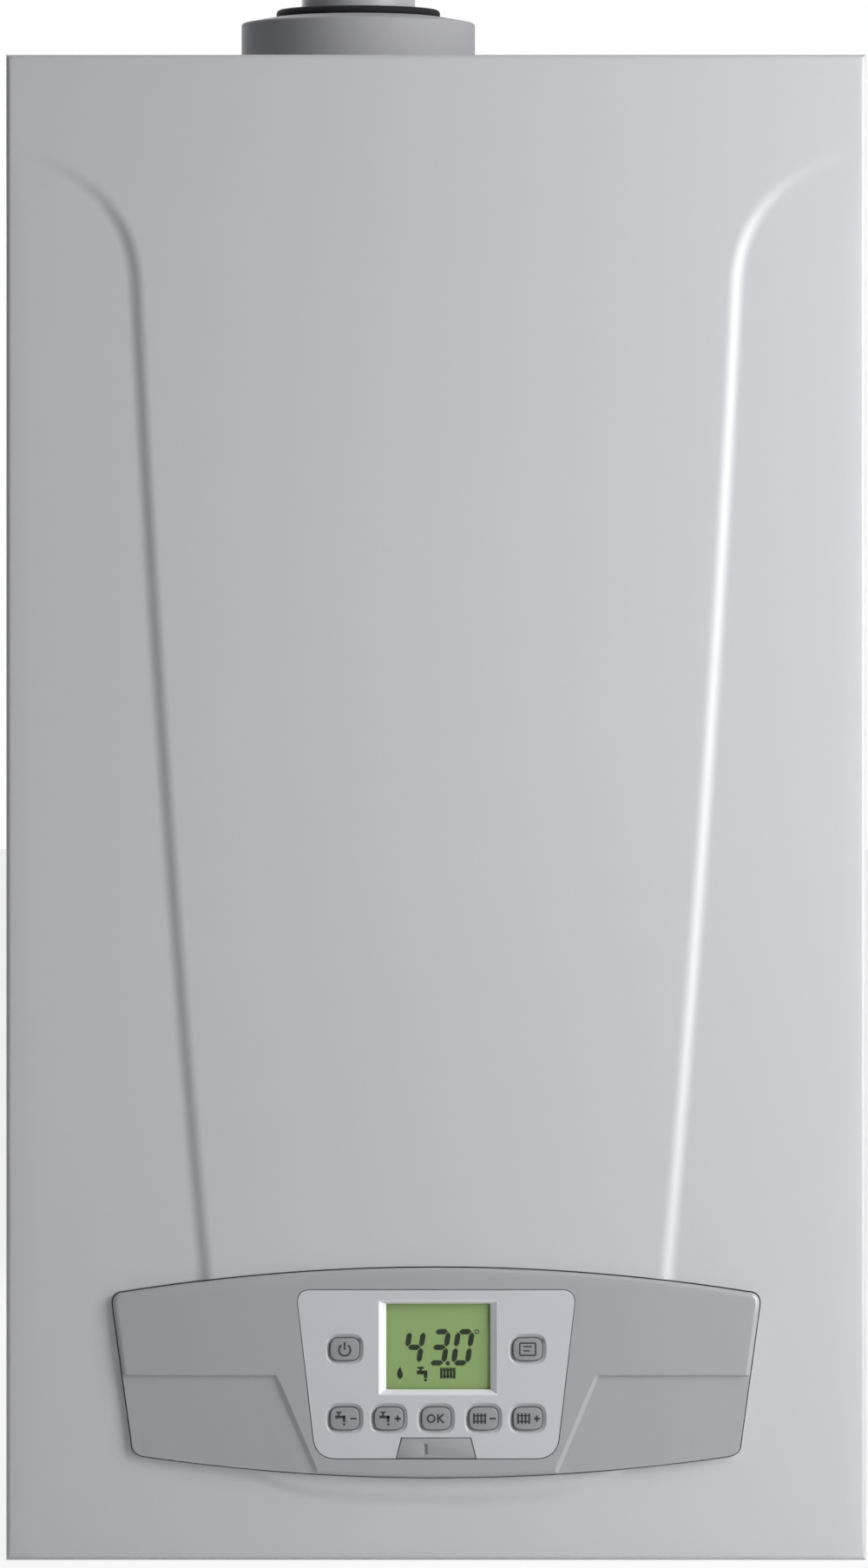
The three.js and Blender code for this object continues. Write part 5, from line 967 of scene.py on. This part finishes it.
def sign_forms(kind, x, z):
    forms = [bar(x + x0, z + z0, x + x1, z + z1, width, CAP_FRONT) for x0, z0, x1, z1, width in STROKES[kind]]
    if kind == "tap":
        forms.append(disc(x + 1.2, z - 2.2, 0.5, CAP_FRONT))
    if kind == "power":
        forms.append(circle_band(x, z - 0.3, 2.2, 0.75, CAP_FRONT, 125, 290, 32))
    if kind == "ok":
        forms.append(circle_band(x - 1.9, z, 1.35, 0.7, CAP_FRONT))
    return forms


for name, parts in SIGNS.items():
    x, z = BUTTONS[name]
    forms = [form for kind, shift in parts for form in sign_forms(kind, x + shift, z)]
    piece = joined(name + "_sign", *forms)
    middle = place(x, CAP_FRONT, z)
    piece.data.transform(Matrix.Translation(middle) @ Matrix.Diagonal((SIGN_SCALE, 1, SIGN_SCALE, 1))
                         @ Matrix.Translation(-middle))
    dress(piece, ink, name, "button")

# %% The small port cover under the keys
tab = joined("port_tab", plate(tab_outline(0), -298.1, KEYPAD_BACK),
             plate([(-16, 50.2), (16, 50.2), (16, 57.0), (-16, 57.0)], -296.4, -293.95))
carve(tab, object_of("slot_cut", plate(rounded_rectangle(-6.0, -4.2, 49.4, 54.4, 0.8), -299, -297.2)))
round_edges(tab, 0.35, 3, 50)
dress(tab, tab_finish, "control_box", "port_cover", "service_port_cover")

# %% [markdown]
# ## The flue collar, its seal and the pipe
#
# These are round parts on one upright axis, so each is a half profile that is spun. The collar is a
# pressed sheet cap with a rolled edge, the black lip seal has the soft bead that holds the air pipe,
# and the inner pipe ends in a small outward bead.

# %% The flue parts
AXIS_UP = (0, 0, 1)


def arc_profile(cx, cz, radius, start, end, steps):
    """Profile points on a quarter round, angles counted from the outward direction."""
    angles = [math.radians(start + (end - start) * i / steps) for i in range(steps + 1)]
    return [(cx + radius * math.cos(a), cz + radius * math.sin(a)) for a in angles]


def flue_part(name, profile, material, slot, node):
    piece = object_of(name, turned(profile, (FLUE_X, FLUE_Y, 0), AXIS_UP, 128))
    dress(piece, material, "casing", slot, node, angle=30)


flue_part("flue_collar", [(47.5, 702), (55.5, 702)] + arc_profile(54.1, 720.9, 1.4, 0, 82, 6)
          + [(40.6, 724.8)] + arc_profile(39.0, 724.2, 0.8, 80, 175, 4)
          + [(38.0, 722.5), (36.3, 722.5), (52.5, 720.2), (53, 719.8), (53, 704.5), (47.5, 704.5)],
          collar_finish, "collar", "flue_adapter")
flue_part("flue_lip_ring", [(33, 721), (36, 721), (36, 724.95)] + arc_profile(37.9, 726.0, 1.0, -80, 0, 4)
          + arc_profile(37.1, 726.8, 1.8, 0, 90, 6) + [(35.4, 728.0), (34.2, 728.6), (33, 728.0)],
          rubber, "rubber", "flue_lip_seal")
flue_part("flue_pipe_end", [(27.3, 688.2), (29.5, 688.2), (29.5, 706.4), (27.0, 708.6), (27.0, 732.6)]
          + arc_profile(26.4, 734.2, 0.8, 0, 180, 8) + [(24.8, 733.4), (24.8, 704.2), (27.3, 704.2)],
          flue_finish, "flue", "flue_spigot")

# %% [markdown]
# ## Pipe stubs, taps and nuts under the casing
#
# The stubs carry real pipe threads. A fine V profile in the spun outline gives the look of a thread
# without its helix, which at this pitch the eye doesn't miss. Each has a six-sided nut against the
# floor of the casing.

# %% Threaded stubs
STUBS = {
    "heating_flow_stub": (-130, 13.2, 10.5), "hot_water_stub": (-65, 10.5, 8), "gas_stub": (0, 13.2, 10.5),
    "cold_water_stub": (65, 10.5, 8), "heating_return_stub": (130, 13.2, 10.5),
}
THREAD_PITCH, THREAD_DEPTH, THREAD_TOP = 1.8, 0.75, 25.5
NUT_REACH, NUT_FOOT, NUT_HEIGHT = 1.42, 27.6, 5.2


def threaded_stub(name, x, radius, bore):
    profile = [(bore, 8.6), (bore + 0.6, 8), (radius - 1.2, 8), (radius - THREAD_DEPTH, 8.9)]
    z = 9.4
    while z < THREAD_TOP:
        profile += [(radius, z + THREAD_PITCH * 0.4), (radius, z + THREAD_PITCH * 0.55),
                    (radius - THREAD_DEPTH, z + THREAD_PITCH * 0.95)]
        z += THREAD_PITCH
    profile += [(radius, z + 1.2), (radius, 34), (17, 34), (17, 40), (radius, 40), (radius, 55), (bore, 55)]
    barrel = turned(profile, (x, STUB_Y, 0), AXIS_UP, 64)
    form = bmesh.new()
    angles = [math.radians(60 * i + 30) for i in range(6)]
    nut_reach = NUT_REACH * radius
    face = ring_face(form, [place(x + nut_reach * math.cos(a), STUB_Y + nut_reach * math.sin(a), NUT_FOOT)
                            for a in angles])
    push_out(form, [face], z=NUT_HEIGHT)
    bmesh.ops.recalc_face_normals(form, faces=form.faces)
    nut_piece = object_of(name + "_nut", form)
    bore_profile = [(0.01, 20), (radius + 0.1, 20), (radius + 0.1, 36), (0.01, 36)]
    carve(nut_piece, object_of("nut_bore", turned(bore_profile, (x, STUB_Y, 0), AXIS_UP, 64)))
    round_edges(nut_piece, 0.6, 2, 40)
    dress(nut_piece, brass, "casing", "brass", angle=30)
    dress(object_of(name + "_thread", barrel), brass, "casing", "brass", name, angle=50)


for name, (x, radius, bore) in STUBS.items():
    threaded_stub(name, x, radius, bore)

# %% [markdown]
# ## The parts inside and behind
#
# When the cover is off and the control box is down, the boiler's inside shows. The CAD forms are right,
# but their edges are knife sharp. A copy of each mesh is merged and its flat faces are joined again; most
# copies then get their clear edges rounded by about a millimetre or less, as on castings, mouldings and
# pressings, while the pipes and the impeller only get smooth shading.

# %% Rounded copies of the inner parts
body_of = {node: body for body, names in frame["record"]["behaviour"]["bodies"].items() for node in names}
slot_of = {part["node"]: part["material_slot"] for part in frame["record"]["subparts"]}
REFINED = {
    paint: {"left_side_panel": 0.7, "right_side_panel": 0.7, "top_panel": 0.5},
    flue_finish: {"flue_duct": 0.5},
    copper: {"gas_pipe": 0, "flow_pipe": 0, "return_pipe": 0},
    stainless: {"heat_exchanger": 0.8, "plate_heat_exchanger": 0.5, "burner_tube": 0.3, "fan_impeller": 0},
    casting: {"burner_door": 0.6, "fan_housing": 0.5, "gas_air_mixer": 0.5, "gas_valve": 0.7,
              "gas_air_elbow": 0.5},
    brass: {"left_hydraulic_group": 1.2, "right_hydraulic_group": 1.2, "pump_body": 0.8, "air_vent": 0.4,
            "safety_valve": 0.4},
    dark_plastic: {"fan_motor": 0.8, "pump_motor": 0.8, "control_box_housing": 0.4, "control_box_lid": 0.4},
    white_plastic: {"condensate_trap": 0.6, "diverter_motor": 1.2, "ignition_electrode": 0.3},
    vessel_finish: {"expansion_vessel": 0.5},
    red_plastic: {"safety_valve_knob": 0.9},
    blue_plastic: {"filling_tap": 0.8},
    zinc: {"hinge_bracket_left": 0.3, "hinge_bracket_right": 0.3},
}
for material, widths in REFINED.items():
    for node, width in widths.items():
        form = bmesh.new()
        form.from_mesh(nodes[node].data)
        bmesh.ops.remove_doubles(form, verts=form.verts, dist=2e-6)
        bmesh.ops.dissolve_limit(form, angle_limit=math.radians(1), verts=form.verts, edges=form.edges)
        piece = object_of(node + "_smooth", form)
        if width:
            round_edges(piece, width, 2, 32)
        dress(piece, material, body_of[node], slot_of[node], node, angle=32)
print("rounded copies:", sum(len(widths) for widths in REFINED.values()))

# %% [markdown]
# ## Screws
#
# Pan-head screws with a cross recess hold the casing's sheets together. A head is a low dome, spun from
# its profile, and the recess is cut by two crossed bars.

# %% Casing screws
HEAD_RADIUS, HEAD_HEIGHT, RECESS_LENGTH, RECESS_WIDTH = 3.6, 2.0, 3.8, 0.9


def upright_bar(x, y, half_x, half_y, z_low, z_high):
    form = bmesh.new()
    bmesh.ops.create_cube(form, size=1)
    bmesh.ops.scale(form, verts=form.verts, vec=Vector((2 * half_x, 2 * half_y, z_high - z_low)) * MM)
    bmesh.ops.translate(form, verts=form.verts, vec=place(x, y, (z_low + z_high) / 2))
    return object_of("recess", form)


def casing_screw(name, x, y, z, up):
    """A screw head on the sheet at height z, which looks up (1) or down (-1)."""
    dome = [(HEAD_RADIUS * math.cos(math.radians(a)), HEAD_HEIGHT * (0.25 + 0.75 * math.sin(math.radians(a))))
            for a in range(0, 90, 15)]
    head = object_of(name, turned([(0.01, 0), (HEAD_RADIUS, 0)] + dome + [(0.01, HEAD_HEIGHT)], (x, y, z),
                                  (0, 0, up), 32))
    ends = sorted((z + up * HEAD_HEIGHT * 0.4, z + up * HEAD_HEIGHT * 1.5))
    carve(head, upright_bar(x, y, RECESS_LENGTH / 2, RECESS_WIDTH / 2, *ends),
          upright_bar(x, y, RECESS_WIDTH / 2, RECESS_LENGTH / 2, *ends))
    dress(head, screw_steel, "casing", "zinc", angle=35)


TOP_SHEET, FLOOR_SHEET = 700, 32.8
for i, (x, y) in enumerate([(-190, -30), (-190, -245), (190, -30), (190, -245), (0, -30)]):
    casing_screw(f"top_screw_{i + 1}", x, y, TOP_SHEET, 1)
for i, (x, y) in enumerate([(-180, -30), (-180, -240), (180, -30), (180, -240)]):
    casing_screw(f"floor_screw_{i + 1}", x, y, FLOOR_SHEET, -1)

# %% [markdown]
# ## Camera and light
#
# The photograph looks straight at the front from about five and a half metres, level with the middle
# of the picture, so a long lens does. The paint brightens from left to right, which says that a broad
# soft lamp stands to the right. A floor and world that are white only to the camera and to reflections
# give the white background without adding light.

# %% Camera
FRAME_PIXELS_HIGH = 1806
PIXELS_PER_MM = 2.477
CAMERA_DISTANCE = 5.5
camera_data = bpy.data.cameras.new("camera")
camera = bpy.data.objects.new("camera", camera_data)
scene.collection.objects.link(camera)
camera.location = (-0.0010, COVER_FACE * MM - CAMERA_DISTANCE, -0.2941)
camera.rotation_euler = (math.pi / 2, 0, 0)
camera_data.sensor_width = 36
camera_data.lens = camera_data.sensor_width * CAMERA_DISTANCE / (FRAME_PIXELS_HIGH / PIXELS_PER_MM * MM)
camera_data.clip_start, camera_data.clip_end = 0.1, 200
scene.camera = camera

# %% Light
MIDDLE = Vector((0, -0.15, -0.3))


def lamp(name, location, size, power):
    """A rectangular lamp that looks at the middle of the boiler, in metres and watts."""
    data = bpy.data.lights.new(name, "AREA")
    data.shape = "RECTANGLE"
    data.size, data.size_y = size
    data.energy = power
    thing = bpy.data.objects.new(name, data)
    scene.collection.objects.link(thing)
    thing.location = location
    thing.rotation_euler = (MIDDLE - Vector(location)).to_track_quat("-Z", "Y").to_euler()
    thing.visible_camera = False


lamp("key", (1.0, -0.95, 0.0), (0.7, 1.3), 21)
lamp("fill", (-0.6, -4.2, 0.3), (2.4, 2.4), 3)
lamp("top", (0.3, -0.5, 2.3), (1.6, 1.6), 8)
lamp("back", (-0.9, 2.4, 0.9), (1.8, 1.8), 22)

# %% Floor and world
SEEN_DIRECTLY = ("Is Camera Ray", "Is Glossy Ray", "Is Transmission Ray")


def any_seen(tree):
    """One where the camera, a reflection or a refraction looks straight at the backdrop."""
    path = add(tree, "ShaderNodeLightPath")
    first = add(tree, "ShaderNodeMath", operation="MAXIMUM")
    second = add(tree, "ShaderNodeMath", operation="MAXIMUM")
    link(tree, path, SEEN_DIRECTLY[0], first, 0)
    link(tree, path, SEEN_DIRECTLY[1], first, 1)
    link(tree, first, 0, second, 0)
    link(tree, path, SEEN_DIRECTLY[2], second, 1)
    return second


def mixed(tree, factor, output, first, second):
    """One shader where the factor is nought, the other where it is one."""
    mix = add(tree, "ShaderNodeMixShader")
    link(tree, factor, output, mix, 0)
    link(tree, first, 0, mix, 1)
    link(tree, second, 0, mix, 2)
    return mix


world = bpy.data.worlds.new("studio")
scene.world = world
world.use_nodes = True
sky = world.node_tree
sky.nodes.clear()
plain = add(sky, "ShaderNodeBackground", {"Color": (0.94, 0.97, 1.08, 1), "Strength": 0.10})
white = add(sky, "ShaderNodeBackground", {"Color": (1, 1, 1, 1), "Strength": 1.0})
link(sky, mixed(sky, any_seen(sky), 0, plain, white), 0, add(sky, "ShaderNodeOutputWorld"), "Surface")

floor_form = bmesh.new()
bmesh.ops.create_circle(floor_form, cap_ends=True, segments=96, radius=60)
floor = object_of("floor", floor_form)
floor.data.transform(Matrix.Translation((0, 0, -HANG * MM - 0.0006)))
floor_finish = bpy.data.materials.new("floor_finish")
floor_finish.use_nodes = True
ground = floor_finish.node_tree
ground.nodes.clear()
matte = add(ground, "ShaderNodeBsdfDiffuse", {"Color": (0.9, 0.9, 0.9, 1)})
glow = add(ground, "ShaderNodeEmission", {"Color": (1, 1, 1, 1), "Strength": 1.0})
clear = add(ground, "ShaderNodeBsdfTransparent")
under = add(ground, "ShaderNodeNewGeometry")
glow_share = add(ground, "ShaderNodeMath", {1: 0.85}, operation="MULTIPLY")
link(ground, any_seen(ground), 0, glow_share, 0)
lit = mixed(ground, glow_share, 0, matte, glow)
sides = mixed(ground, under, "Backfacing", lit, clear)
link(ground, sides, 0, add(ground, "ShaderNodeOutputMaterial"), "Surface")
floor.data.materials.append(floor_finish)
scene.view_settings.view_transform = "Standard"
